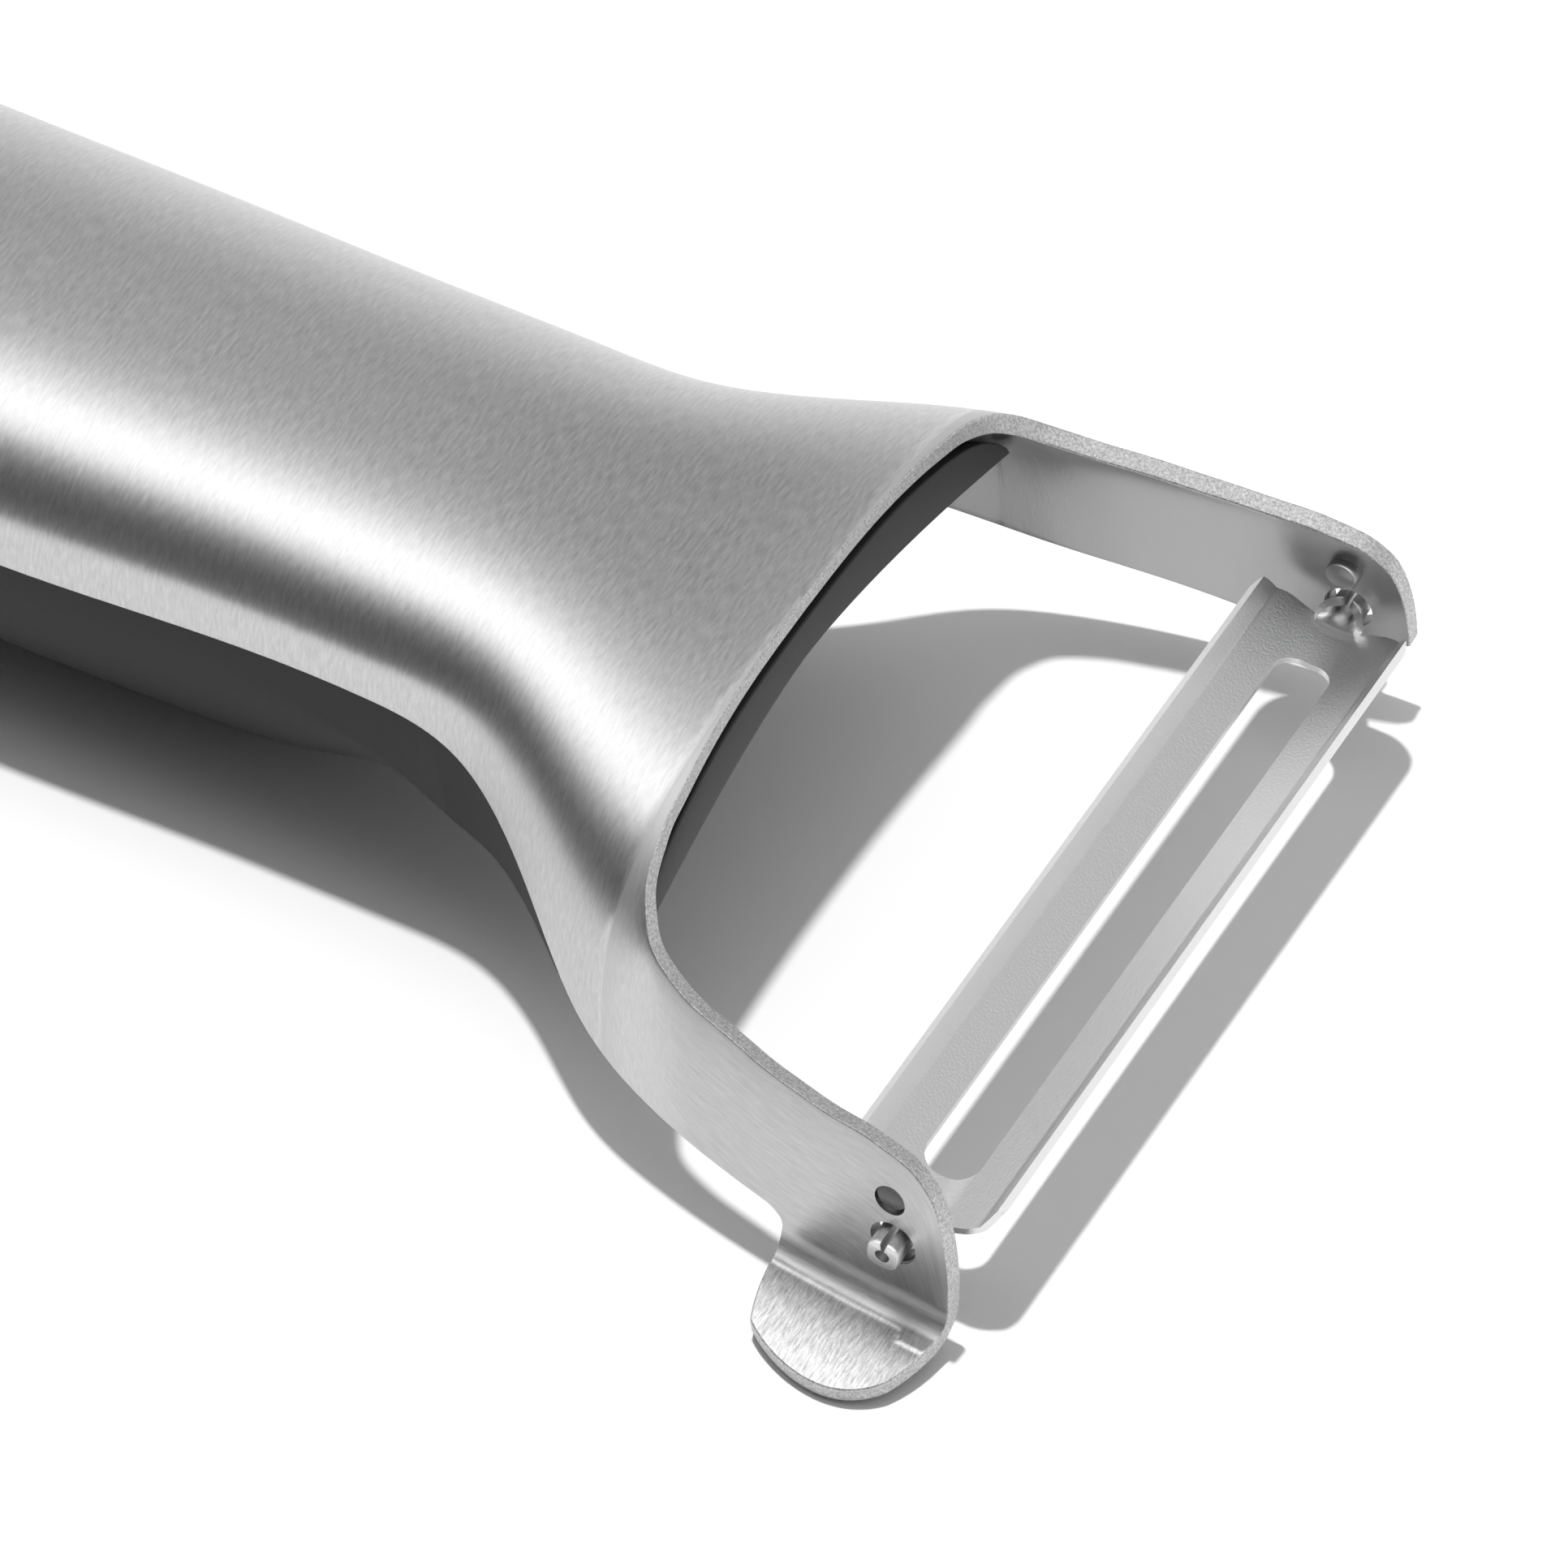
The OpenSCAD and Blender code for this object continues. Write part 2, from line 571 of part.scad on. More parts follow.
// closed section of the core: lip is 0 behind the seam and 1 for the arched front lip,
// drop lowers its top and cut draws it in all round
function side_z(x, lip) = lip > 0 ? max(edge_at(x), mix(edge_at(-seam_back), lip_side, lip)) : edge_at(x);
function bow_at(s, lip) = lip_bow * lip * abs(s) ^ lip_power;
function core_ring(x, lip, f, g, drop, cut) =
    let (low = side_z(x, lip))
    concat(
        [for (i = [0 : arch_cells])
            let (
                s = 2 * i / arch_cells - 1,
                xs = x + bow_at(s, lip),
                off = core_off + drop * along(step_shares, abs(s) * (len(step_shares) - 1)) + cut,
                p = skin(xs, abs(s) * min(90, angle_of_z(xs, low)), off, f, g)
            )
            [p[0], p[1] * sign(s), p[2]]],
        [for (i = [1 : arch_cells - 1])
            let (
                s = sin(90 - 180 * i / arch_cells),
                xs = x + bow_at(s, lip),
                y = lip > 0 ? wall_y(xs, low, core_off + cut) : inner_half(x, core_off) * f,
                z = lip > 0 ? mix(middle_at(x), low, abs(s) ^ lip_power) + cut : low + seam_arch(x, s)
            )
            [xs, y * s, z]]
    );

// closed section of the grip, under the sheet's edge at its sides and arched between them
function grip_ring(x, f, g) =
    let (
        top = edge_at(x) - fit_gap,
        low = top - wall_at(x),
        side = mix(top, low, g),
        half = (half_at(x) - fit_gap) * f,
        inner = min(inner_half(x, core_off), half_at(x) - fit_gap) * f
    )
    concat(
        [for (i = [0 : arch_cells])
            i == 0 ? [x, -half, top] :
            i == arch_cells ? [x, half, top] :
            let (s = 2 * (i - 1) / (arch_cells - 2) - 1)
            [x, inner * s, top + seam_arch(x, s)]],
        [for (i = [0 : arch_cells])
            let (t = 90 - 180 * i / arch_cells)
            [x, half * sin(t), side + (middle_at(x) - low) * g * cos(t) ^ low_power(x)]]
    );

module loft(rings) {
    n = len(rings[0]);
    m = len(rings);
    points = [for (r = rings) each r];
    sides = [for (r = [0 : m - 2]) for (i = [0 : n - 1])
        let (a = r * n + i, b = r * n + (i + 1) % n)
        for (t = four(a, b, b + n, a + n)) t];
    odd = n / 2 - arch_cells;
    e = (m - 1) * n;
    first = [for (i = [0 : arch_cells - 1])
        let (a = (n - i - odd) % n, b = n - i - 1 - odd)
        for (t = four(i + 1, i, a, b)) t];
    last = [for (i = [0 : arch_cells - 1])
        let (a = (n - i - odd) % n, b = n - i - 1 - odd)
        for (t = four(e + i, e + i + 1, e + b, e + a)) t];
    polyhedron(points = points, faces = concat(sides, first, last), convexity = 6);
}

// rows of the core: round tail, straight handle, then the lip that bows forward
tail_start = 0.15;
tail_us = [for (i = [0 : tail_rows]) mix(tail_start, 1, i / tail_rows)];
core_tail = [for (u = tail_us) [tail_x_at(u, core_off), tail_f(u)]];
core_body = [for (i = [1 : core_rows]) mix(tail_x + tail_round, -seam_back - fit_gap, i / core_rows)];
lip_x = -mouth_back - lip_back;
lip_start = -seam_back + fit_gap;
step_x = lip_x - lip_step_in;
lip_rows = 4;
first_lip = 0.01;
function lip_at(x) = mix(first_lip, 1, (x - lip_start) / (lip_x - lip_bevel - lip_start));
core_rings = concat(
    [for (t = core_tail) core_ring(t[0], 0, t[1], t[1] ^ tail_roll, 0, 0)],
    [for (x = core_body) core_ring(x, 0, 1, 1, 0, 0)],
    [for (i = [0 : lip_rows])
        let (x = mix(lip_start, step_x, i / lip_rows))
        core_ring(x, lip_at(x), 1, 1, 0, 0)],
    [for (i = [0 : lip_rows])
        let (x = mix(step_x, lip_x - lip_bevel, i / lip_rows))
        core_ring(x, lip_at(x), 1, 1, lip_step, 0)],
    [core_ring(lip_x, 1, 1, 1, lip_step, lip_bevel)]
);

module handle_core() {
    color([0.13, 0.13, 0.14])
        translate([pivot_x, 0, pivot_height])
            difference() {
                union() {
                    loft(core_rings);
                    translate([hang_x, 0, collar_clear - pivot_height])
                        cylinder(d = collar_d, h = handle_top + collar_up + pivot_height - collar_clear);
                }
                hang_cut(0, hang_d);
            }
}

// rows of the grip
grip_rows = 22;
grip_tail = [for (u = tail_us) [tail_x_at(u, fit_gap), tail_f(u)]];
grip_body = [for (i = [1 : grip_rows])
    mix(tail_x + tail_round, -seam_back - 2 * fit_gap, i / grip_rows)];
grip_rings = concat(
    [for (t = grip_tail) grip_ring(t[0], t[1], t[1] ^ tail_roll)],
    [for (x = grip_body) grip_ring(x, 1, 1)]
);

module soft_grip() {
    color([0.11, 0.11, 0.12])
        translate([pivot_x, 0, pivot_height])
            difference() {
                loft(grip_rings);
                translate([tail_x - past, -grip_w / 2, -2 * pivot_height])
                    cube([total_length, grip_w, pivot_height]);
                hang_cut(0, collar_d + 2 * fit_gap);
            }
}

steel_body();
blade();
handle_core();
soft_grip();
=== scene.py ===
"""Looks of a Y-shaped vegetable peeler: brushed steel sheet, swivel blade, hard core and soft grip."""
import bpy
import bmesh
import math
import numpy as np
from mathutils import Matrix, Vector

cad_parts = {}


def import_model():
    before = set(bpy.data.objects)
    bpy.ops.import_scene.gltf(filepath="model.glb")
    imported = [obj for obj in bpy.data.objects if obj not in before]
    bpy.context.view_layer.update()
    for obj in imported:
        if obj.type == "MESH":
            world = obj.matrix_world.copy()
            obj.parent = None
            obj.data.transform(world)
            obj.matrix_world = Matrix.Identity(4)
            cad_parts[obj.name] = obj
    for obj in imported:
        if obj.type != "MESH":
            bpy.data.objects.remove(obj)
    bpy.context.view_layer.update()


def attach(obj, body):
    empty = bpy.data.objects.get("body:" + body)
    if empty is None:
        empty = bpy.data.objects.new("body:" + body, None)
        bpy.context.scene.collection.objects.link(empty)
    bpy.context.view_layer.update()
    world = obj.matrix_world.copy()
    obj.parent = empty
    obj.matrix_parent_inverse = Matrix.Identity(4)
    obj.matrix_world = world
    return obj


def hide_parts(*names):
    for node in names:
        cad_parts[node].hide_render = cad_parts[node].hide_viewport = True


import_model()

# Sizes below are millimetres, measured from the middle of the blade's pivot; MM turns them to metres.
MM = 0.001
total_length = 168
pivot_height = 8
waist_back = 46
sheet_t = 1.3
grip_w = 32.9
waist_w = 32
head_w = 62
handle_top = 19
head_top = 16.8
handle_edge = 9.8
waist_edge = 10.75
arm_drop = 4.1
handle_square = 2.6
arm_square = 3.7
tail_round = 17
tail_square = 2.3
tail_roll = 0.6
mouth_back = 23.3
mouth_top = 16.9
arm_reach = 4.2
tip_round = 1.7
mouth_flat = 14.2
pivot_hole_d = 3.2
stop_d = 2.2
stop_up = 3.55
stop_back = 0.3
stop_h = 1
stop_dimple = 0.6
scoop_back = 8.3
scoop_out = 7.6
scoop_drop = 3.9
scoop_bend_r = 1.6
scoop_fall = 9
scoop_corner = 1.5
blade_t = 0.5
blade_w = 11.2
shoulder_gap = 1.5
slot_w = 3.9
slot_end = 3.8
slot_corner = 1.6
blade_corner = 2.4
blade_slope = 23
edge_slope = 61
edge_l = 1.35
fold_r = 0.5
blade_tilt = 4
pin_d = 2.2
pin_proud = 1.3
pin_seam = 24
fit_gap = 0.3
lip_back = 0
lip_step = 0.7
lip_step_in = 2
lip_mid = 11.5
lip_side = 8.6
lip_bow = 1.5
lip_bevel = 0.15
neck_wall = 6.5
seam_lift = 10.4
seam_back = 27.6
flat_depth = 0.5
hang_d = 8
collar_t = 1.4
hang_in = 13
collar_up = 0.3
collar_clear = 0.6

# Stations and shares along the peeler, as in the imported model.
handle_shares = [1, 0.8, 0.6, 0.36, 0.223, 0.103]
neck_shares = [1, 0.848, 0.696, 0.565, 0.435, 0.261, 0.087, -0.13]
handle_w_shares = [-0.6, 0.2, 0.9, 1, 0.97, 0]
neck_w_shares = [0, 0.051, 0.32, 0.617, 0.787, 0.92, 1, 1.055]
handle_edge_shares = [1.5, 1.2, 1, 1, 1, 0.22]
neck_edge_shares = [0, 0.084, 0.339, 0.62, 0.783, 0.879, 0.96, 1.067]
top_shares = [0.4, 0.2, 0.05, 0, 0, 0.02, 0.14, 0.33, 0.6, 0.78, 0.8, 0.93, 1, 1.14]
square_shares = [0, 0, 0, 0, 0, 0, 0.04, 0.25, 0.47, 0.61, 0.77, 0.84, 1, 1.15]
mouth_x_shares = [1, 0.995, 0.979, 0.97, 0.967]
mouth_y_shares = [0, 0.53, 1, 1.22, 1.36]
arm_x_shares = [0.958, 0.942, 0.91, 0.863, 0.781, 0.704, 0.627, 0.532, 0.447, 0.36, 0.279, 0.197]
arm_z_shares = [0.872, 0.799, 0.728, 0.651, 0.592, 0.556, 0.538, 0.515, 0.491, 0.475, 0.46, 0.45]
tip_x_shares = [-0.66, -0.22, 0.2, 0.48, 0.66, 0.79, 0.89, 0.96, 1]
tip_z_shares = [0.445, 0.424, 0.394, 0.343, 0.29, 0.213, 0.118, 0.012, -0.1]
foot_shares = [1, 0.975, 0.945, 0.915, 0.885, 0.85, 0.815, 0.775,
               0.73, 0.68, 0.625, 0.565, 0.505, 0.44, 0.375]
under_shares = [1.391, 1.261, 1.13, 1, 0.87, 0.739, 0.63, 0.53, 0.45]
belly_shares = [1, 0.985, 0.89, 0.69, 0.42, 0.18, 0.04, 0, 0]
wall_shares = [0.12, 0.18, 0.46, 0.71, 1, 0.54, 0.15, 0.06, 0.06]
lift_shares = [0, 0, 0, 0, 0, 0.25, 0.87, 1, 1]
arch_power = 2.5
scoop_powers = [0.28, 0.42]
step_shares = [1, 0.82, 0.6, 0.65, 0.3, 0]
lip_power = 1.6

# This script's own powers and shares: the foot's rise onto the rim, the rows over which the far tip is
# rounded, the rate at which the lip's blunt ends rise, and where the lip and the closed tail start
foot_power = 8
round_rows = 3
blunt_rate = 10
lip_least = 0.01
tail_start = 0.15

# Half the distance over which directions are measured, and the least length or cosine divided by
probe = 0.3
tiny = 1e-9

# Counts of cells and rows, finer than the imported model's
tail_rows = 34
handle_rows = 44
neck_rows = 40
edge_steps = 7
side_cells = 52
scoop_rows = 56
arch_cells = 72
rim_points = 5
tail_rings = 30
core_rows = 60
lip_rows = 9
bevel_rows = 5
grip_rows = 90
fold_steps = 8
corner_points = 12
tab_rows = 14
tab_cells = 40

front_reach = blade_w / 2
pivot_x = total_length / 2 - front_reach
PIVOT = np.array([pivot_x, 0, pivot_height])
tail_x = front_reach - total_length
handle_l = -tail_x - waist_back
hang_x = tail_x + hang_in
core_off = sheet_t + fit_gap

# Distances on the sheet's flat map that set the scoop, the inner face and the rim apart
scoop_flat = 100
inner_flat = 300
rim_flat = 1000

# Coined part of the scoop: its distance from the bend, the same at the front, the place and length of the
# change between them, the width of its sloping edge and its depth
coin_in = 0.15
coin_in_front = 1.1
coin_turn = 3.7
coin_change = 0.3
coin_slope = 0.25
coin_deep = 0.05

# Height of the scoop's slight camber, which draws its reflections out from dark to light
scoop_bulge = 0.16

# Tab that rolls up into a pin: half its width at the blade, its tapering length, its wall, its lap under
# the blade, half its turn there in radians, the pin's squareness, and its end as [distance back, inset]
tab_half = 1.5
tab_l = 1.9
tab_wall = 0.6
tab_lap = 0.6
tab_turn = 0.28
pin_square = 3
pin_end = [(0.3, 0), (0.15, 0), (0.04, 0.05), (0, 0.14)]

# Height of the blunt ends of the lip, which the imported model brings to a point
lip_blunt = 0.7

# Radius left on both corners of the sheet's rim by shearing and tumbling, and the rim's reach in radii
rim_r = 0.11
rim_reach = 1.6

# Rounding of small edges, each with a knee part of the way
hole_lip = 0.12
hole_knee = 0.3
dimple_round = 0.3
dimple_wall = 0.25
dimple_knee = 0.08
stop_round = 0.2
stop_knee = 0.06
collar_round = 0.3
collar_knee = 0.1
bore_flare = 0.4

# Reach of cutters past what they cut, and the length over which the lip's step falls
cut_past = 1
flare_past = 5
sheet_bore = 20
deep_bore = 30
step_run = 0.02

# In metres: points of the blade's tree closer than this are joined, and the height of its trimming prisms
weld_near = 0.000001
prism_h = 0.02

# Angles in degrees from which an edge shows as sharp
crease = 35
cut_crease = 40


def spline(places, values):
    """Natural cubic spline through the values at the places, as a function of arrays."""
    t = np.array(places, float)
    v = np.array(values, float)
    n = len(t)
    h = np.diff(t)
    left = np.eye(n)
    right = np.zeros(n)
    for i in range(1, n - 1):
        left[i, i - 1:i + 2] = h[i - 1], 2 * (h[i - 1] + h[i]), h[i]
        right[i] = 6 * ((v[i + 1] - v[i]) / h[i] - (v[i] - v[i - 1]) / h[i - 1])
    m = np.linalg.solve(left, right)

    def at(x):
        i = np.clip(np.searchsorted(t, x, side="right") - 1, 0, n - 2)
        b = np.clip((x - t[i]) / h[i], 0, 1)
        a = 1 - b
        return a * v[i] + b * v[i + 1] + ((a ** 3 - a) * m[i] + (b ** 3 - b) * m[i + 1]) * h[i] ** 2 / 6

    return at


def curve(places, values):
    """Curve through the values that doesn't swing past level stretches, as a function of arrays."""
    t = np.array(places, float)
    v = np.array(values, float)
    n = len(t)
    h = np.diff(t)
    rate = np.diff(v) / h
    inside = (rate[1:] * h[:-1] + rate[:-1] * h[1:]) / (h[1:] + h[:-1])
    slope = np.concatenate([rate[:1], inside, rate[-1:]])

    def at(x):
        i = np.clip(np.searchsorted(t, x, side="right") - 1, 0, n - 2)
        u = np.clip((x - t[i]) / h[i], 0, 1)
        ends = v[i] * (2 * u ** 3 - 3 * u ** 2 + 1) + v[i + 1] * (3 * u ** 2 - 2 * u ** 3)
        bends = slope[i] * (u ** 3 - 2 * u ** 2 + u) + slope[i + 1] * (u ** 3 - u ** 2)
        return ends + bends * h[i]

    return at


def shares_between(first, last, shares):
    """Values at the shares of the way from the first to the last."""
    return [first + (last - first) * s for s in shares]


stations = [-waist_back - handle_l * s for s in handle_shares] + [-waist_back * s for s in neck_shares]
half_at = spline(stations, shares_between(waist_w / 2, grip_w / 2, handle_w_shares)
                 + shares_between(waist_w / 2, head_w / 2, neck_w_shares))
edge_at = spline(stations, shares_between(waist_edge, handle_edge, handle_edge_shares)
                 + shares_between(waist_edge, -arm_drop, neck_edge_shares))
top_at = spline(stations, shares_between(handle_top, head_top, top_shares))
square_at = spline(stations, shares_between(handle_square, arm_square, square_shares))
under_x = [-waist_back * s for s in under_shares]
middle_at = curve(under_x, shares_between(lip_mid, -pivot_height - flat_depth, belly_shares))
wall_at = curve(under_x, [neck_wall * s for s in wall_shares])
lift_at = curve(under_x, [seam_lift * s for s in lift_shares])
belly_share_at = curve(under_x, belly_shares)
step_at = curve(range(len(step_shares)), step_shares)
arm_outer = float(half_at(np.array(0.0)))
arm_inner = arm_outer - sheet_t
blade_l = 2 * (arm_inner - shoulder_gap)
slot_l = blade_l - 2 * slot_end
pin_out = arm_outer + pin_proud


def flare_at(x):
    """Angle at which the sheet's sides flare, seen from above."""
    return np.arctan((half_at(x + probe) - half_at(x - probe)) / (2 * probe))


def inner_half(x, off):
    return half_at(x) - off / np.cos(flare_at(x))


def unit(a, n):
    """Width and height of the section's unit outline at the angle a from its top."""
    s = np.sin(a)
    c = np.cos(a)
    reach = (np.maximum(0, s) ** n + np.maximum(tiny, c) ** n) ** (-1 / n)
    low = a >= math.pi / 2
    return np.where(low, 1, s * reach), np.where(low, c / np.maximum(s, 0.5), c * reach)


def side_share(v, n):
    return (1 - np.clip(v, 0, 1) ** n) ** (1 / n)


def angle_of_z(x, z):
    v = (z - edge_at(x)) / (top_at(x) - edge_at(x))
    return np.arctan2(side_share(v, square_at(x)), v)


def angle_of_y(x, y):
    v = y / half_at(x)
    return np.arctan2(v, side_share(v, square_at(x)))


def skin(x, a, off, f=1.0, g=1.0):
    """Points lying off under the sheet's outer face; f and g draw in width and height."""
    w, h = unit(a, square_at(x))
    low = edge_at(x)
    return np.stack([x + 0 * w, inner_half(x, off) * f * w, low + (top_at(x) - off - low) * g * h], -1)


def unit_rows(v):
    return v / np.maximum(np.linalg.norm(v, axis=-1, keepdims=True), tiny)


def outward(x, a):
    """Unit normals of the sheet's outer face."""
    along = skin(x + probe, a, 0) - skin(x - probe, a, 0)
    turn = math.radians(1)
    round_it = skin(x, a + turn, 0) - skin(x, a - turn, 0)
    return unit_rows(np.cross(along, round_it))


def square_skin(x, a, off):
    """Points lying off under the outer face, measured square to the sheet."""
    return skin(x, a, 0) - off * outward(x, a)


def tail_in(u):
    return 1 - np.cos(math.pi / 2 * u) ** (2 / tail_square)


def tail_f(u):
    return np.sin(math.pi / 2 * u) ** (2 / tail_square)


def smooth_step(u):
    c = np.clip(u, 0, 1)
    return c * c * (3 - 2 * c)


def mix(a, b, u):
    return a + (b - a) * u


# Lines of the sheet's grid from the mouth round to the tips: place and angle at the top and at the foot
mouth_x = -mouth_back * np.array(mouth_x_shares)
arm_x = -mouth_back * np.array(arm_x_shares)
tip_x = arm_reach * np.array(tip_x_shares)
edge_x = np.concatenate([mouth_x, arm_x, tip_x])
edge_a = np.concatenate([
    angle_of_y(mouth_x, mouth_flat * np.array(mouth_y_shares)),
    angle_of_z(arm_x, mouth_top * np.array(arm_z_shares)),
    angle_of_z(tip_x, mouth_top * np.array(tip_z_shares)),
])
foot_cells = len(foot_shares) - 1
scoop_cells = len(edge_x) - 2 - foot_cells
scoop_mid = (arm_reach - scoop_back) / 2
scoop_half = (arm_reach + scoop_back) / 2
foot_x = np.concatenate([-mouth_back * np.array(foot_shares),
                         scoop_mid + (scoop_half - rim_r) * np.linspace(-1, 1, scoop_cells + 1)])
last_row = (len(edge_x) - 1) * edge_steps
scoop_row = (foot_cells + 1) * edge_steps
scoop_count = last_row - scoop_row


def corner_share(x):
    return 1 - np.sqrt(1 - np.clip((x + scoop_back) / scoop_corner + 1, 0, 1) ** 2)


def pulled_in(x, a, by):
    """Moves a line on the outer face away from the mouth; the line runs from the middle to a tip."""
    line = skin(x, a, 0)
    way = np.gradient(line, axis=0)
    way[0] = 0, 1, 0
    moved = line - by * unit_rows(np.cross(way, outward(x, a)))
    low = edge_at(moved[:, 0])
    height = (moved[:, 2] - low) / (top_at(moved[:, 0]) - low)
    return moved[:, 0], np.arctan2(np.maximum(moved[:, 1], 0) / half_at(moved[:, 0]), height)


def front_rows(side):
    """For each row from the mouth's middle to the tip: place and angle at the top, and at the foot."""
    u = np.arange(last_row + 1) / edge_steps
    index = np.arange(len(edge_x))
    x0, a0 = pulled_in(spline(index, edge_x)(u), spline(index, edge_a)(u), rim_r)
    cut = smooth_step((u - index[-1]) / round_rows + 1) * tip_round if side > 0 else 0 * u
    x = curve(index, foot_x)(u) - cut
    low = edge_at(x) + cut + rim_r
    if side < 0:
        low = mix(low, -scoop_drop, corner_share(x - rim_r))
    return x0, a0, x, angle_of_z(x, low)


def sheet_side(side, off):
    """Grid of points of one side of the sheet, tail to tip by crown to foot."""
    j = np.linspace(0, 1, side_cells + 1)[None, :]
    u = (np.arange(tail_rows + 1) / tail_rows)[:, None]
    f = tail_f(u)
    x = tail_x + off + (tail_round - off) * tail_in(u)
    tail = skin(x, math.pi / 2 * j, off, f, f ** tail_roll)
    tail[..., 2] += rim_r * mix(1, j ** foot_power, f)
    body = np.concatenate([np.linspace(tail_x + tail_round, -waist_back, handle_rows + 1)[1:],
                           np.linspace(-waist_back, -mouth_back - rim_r, neck_rows + 1)[1:-1]])[:, None]
    middle = square_skin(body, math.pi / 2 * j, off)
    middle[..., 2] += rim_r * j ** foot_power
    x0, a0, x1, a1 = (r[:, None] for r in front_rows(side))
    front = square_skin(mix(x0, x1, j), mix(a0, a1, j), off)
    grid = np.concatenate([tail, middle, front])
    grid[..., 1] *= side
    return grid


# The scoop carries the near arm's foot on round a bend.
scoop_turn = math.radians(90 - scoop_fall)
bend_l = scoop_bend_r * scoop_turn
scoop_l = bend_l + (scoop_out - scoop_bend_r * (1 - math.cos(scoop_turn))) / math.sin(scoop_turn)


def scoop_grid(off):
    """Grid of points of the scoop, bend to tip by rear to front."""
    v = (np.arange(scoop_rows + 1) / scoop_rows)[:, None]
    u = (2 * np.arange(scoop_count + 1) / scoop_count - 1)[None, :]
    power = mix(scoop_powers[0], scoop_powers[1], (u + 1) / 2)
    x0 = scoop_mid + (scoop_half - rim_r) * u
    x = scoop_mid + (scoop_half - rim_r) * u * (1 - v ** 2 / 2) ** power
    d = (scoop_l - rim_r) * v * (1 - u ** 2 / 2) ** power
    a = np.minimum(scoop_turn, d / scoop_bend_r)
    s = np.maximum(0, d - bend_l)
    if off == 0:
        change = smooth_step((x - scoop_mid - coin_turn) / coin_change + 0.5)
        off = coin_deep * smooth_step((s - mix(coin_in, coin_in_front, change)) / coin_slope)
    out = scoop_bend_r * (1 - np.cos(a)) + s * np.sin(a) - off * np.cos(a)
    down = scoop_bend_r * np.sin(a) + s * np.cos(a) + off * np.sin(a)
    part = np.clip(s / (scoop_l - bend_l), 0, 1)
    down -= scoop_bulge * 4 * part * (1 - part)
    along = x + off * np.sin(flare_at(x0)) * np.cos(a)
    return np.stack([along, -half_at(x0) - out, -scoop_drop - down], -1)


def arc_lengths(grid):
    """Distance along each row of a grid, from its first column."""
    steps = np.linalg.norm(np.diff(grid, axis=1), axis=2)
    return np.concatenate([np.zeros((len(grid), 1)), np.cumsum(steps, axis=1)], axis=1)


class Shell:
    """Gathers grids and bands of points, with a flat map of two lengths, into one mesh."""

    def __init__(self):
        self.points = []
        self.flat = []
        self.faces = []
        self.count = 0

    def grid(self, points, flat, inside_out=False):
        rows, cols = points.shape[:2]
        k = np.arange(rows - 1)[:, None] * cols + np.arange(cols - 1)[None, :] + self.count
        quad = np.stack([k, k + cols, k + cols + 1, k + 1], -1).reshape(-1, 4)
        self.faces.append(quad[:, ::-1] if inside_out else quad)
        self.points.append(points.reshape(-1, 3))
        self.flat.append(flat.reshape(-1, 2))
        self.count += rows * cols

    def mesh(self, name):
        points = np.concatenate(self.points) * MM + PIVOT * MM
        flat = np.concatenate(self.flat)
        faces = np.concatenate(self.faces)
        made = bpy.data.meshes.new(name)
        made.from_pydata(points.tolist(), [], faces.tolist())
        layer = made.uv_layers.new(name="Lengths")
        corner = np.zeros(len(made.loops), np.int32)
        made.loops.foreach_get("vertex_index", corner)
        layer.data.foreach_set("uv", flat[corner].astype(np.float32).ravel())
        weld(made)
        finish_shading(made)
        return made


def weld(mesh, distance=0.002):
    """Joins points closer than the distance, and drops what that leaves without area."""
    work = bmesh.new()
    work.from_mesh(mesh)
    bmesh.ops.remove_doubles(work, verts=work.verts, dist=distance * MM)
    bmesh.ops.dissolve_degenerate(work, edges=work.edges, dist=distance * MM / 2)
    work.to_mesh(mesh)
    work.free()


def finish_shading(mesh, smooth_to=crease):
    """Shades a mesh smooth but for its sharp edges."""
    for face in mesh.polygons:
        face.use_smooth = True
    mesh.set_sharp_from_angle(angle=math.radians(smooth_to))


def in_scene(name, data):
    """Links a new object that holds the data to the scene."""
    made = bpy.data.objects.new(name, data)
    bpy.context.scene.collection.objects.link(made)
    return made


def place(mesh, name, material, body):
    """Puts a mesh in the scene as a piece that rides on a body."""
    piece = in_scene(name, mesh)
    mesh.materials.clear()
    mesh.materials.append(material)
    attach(piece, body)
    return piece


def baked(piece):
    """Applies a piece's modifiers and returns the new mesh."""
    bpy.context.view_layer.update()
    made = bpy.data.meshes.new_from_object(piece.evaluated_get(bpy.context.evaluated_depsgraph_get()))
    piece.modifiers.clear()
    piece.data = made
    return made


def cut(piece, meshes, operation="DIFFERENCE"):
    """Cuts or joins closed meshes into a piece."""
    cutters = [in_scene("cutter", mesh) for mesh in meshes]
    for cutter in cutters:
        step = piece.modifiers.new("cut", "BOOLEAN")
        step.operation = operation
        step.solver = "EXACT"
        step.object = cutter
    made = baked(piece)
    for cutter in cutters:
        bpy.data.objects.remove(cutter)
    return made


def tube_faces(rings, count):
    """Faces of a tube through rings of so many points each."""
    faces = []
    for r in range(rings - 1):
        for i in range(count):
            j = (i + 1) % count
            faces.append((r * count + i, r * count + j, (r + 1) * count + j, (r + 1) * count + i))
    return faces


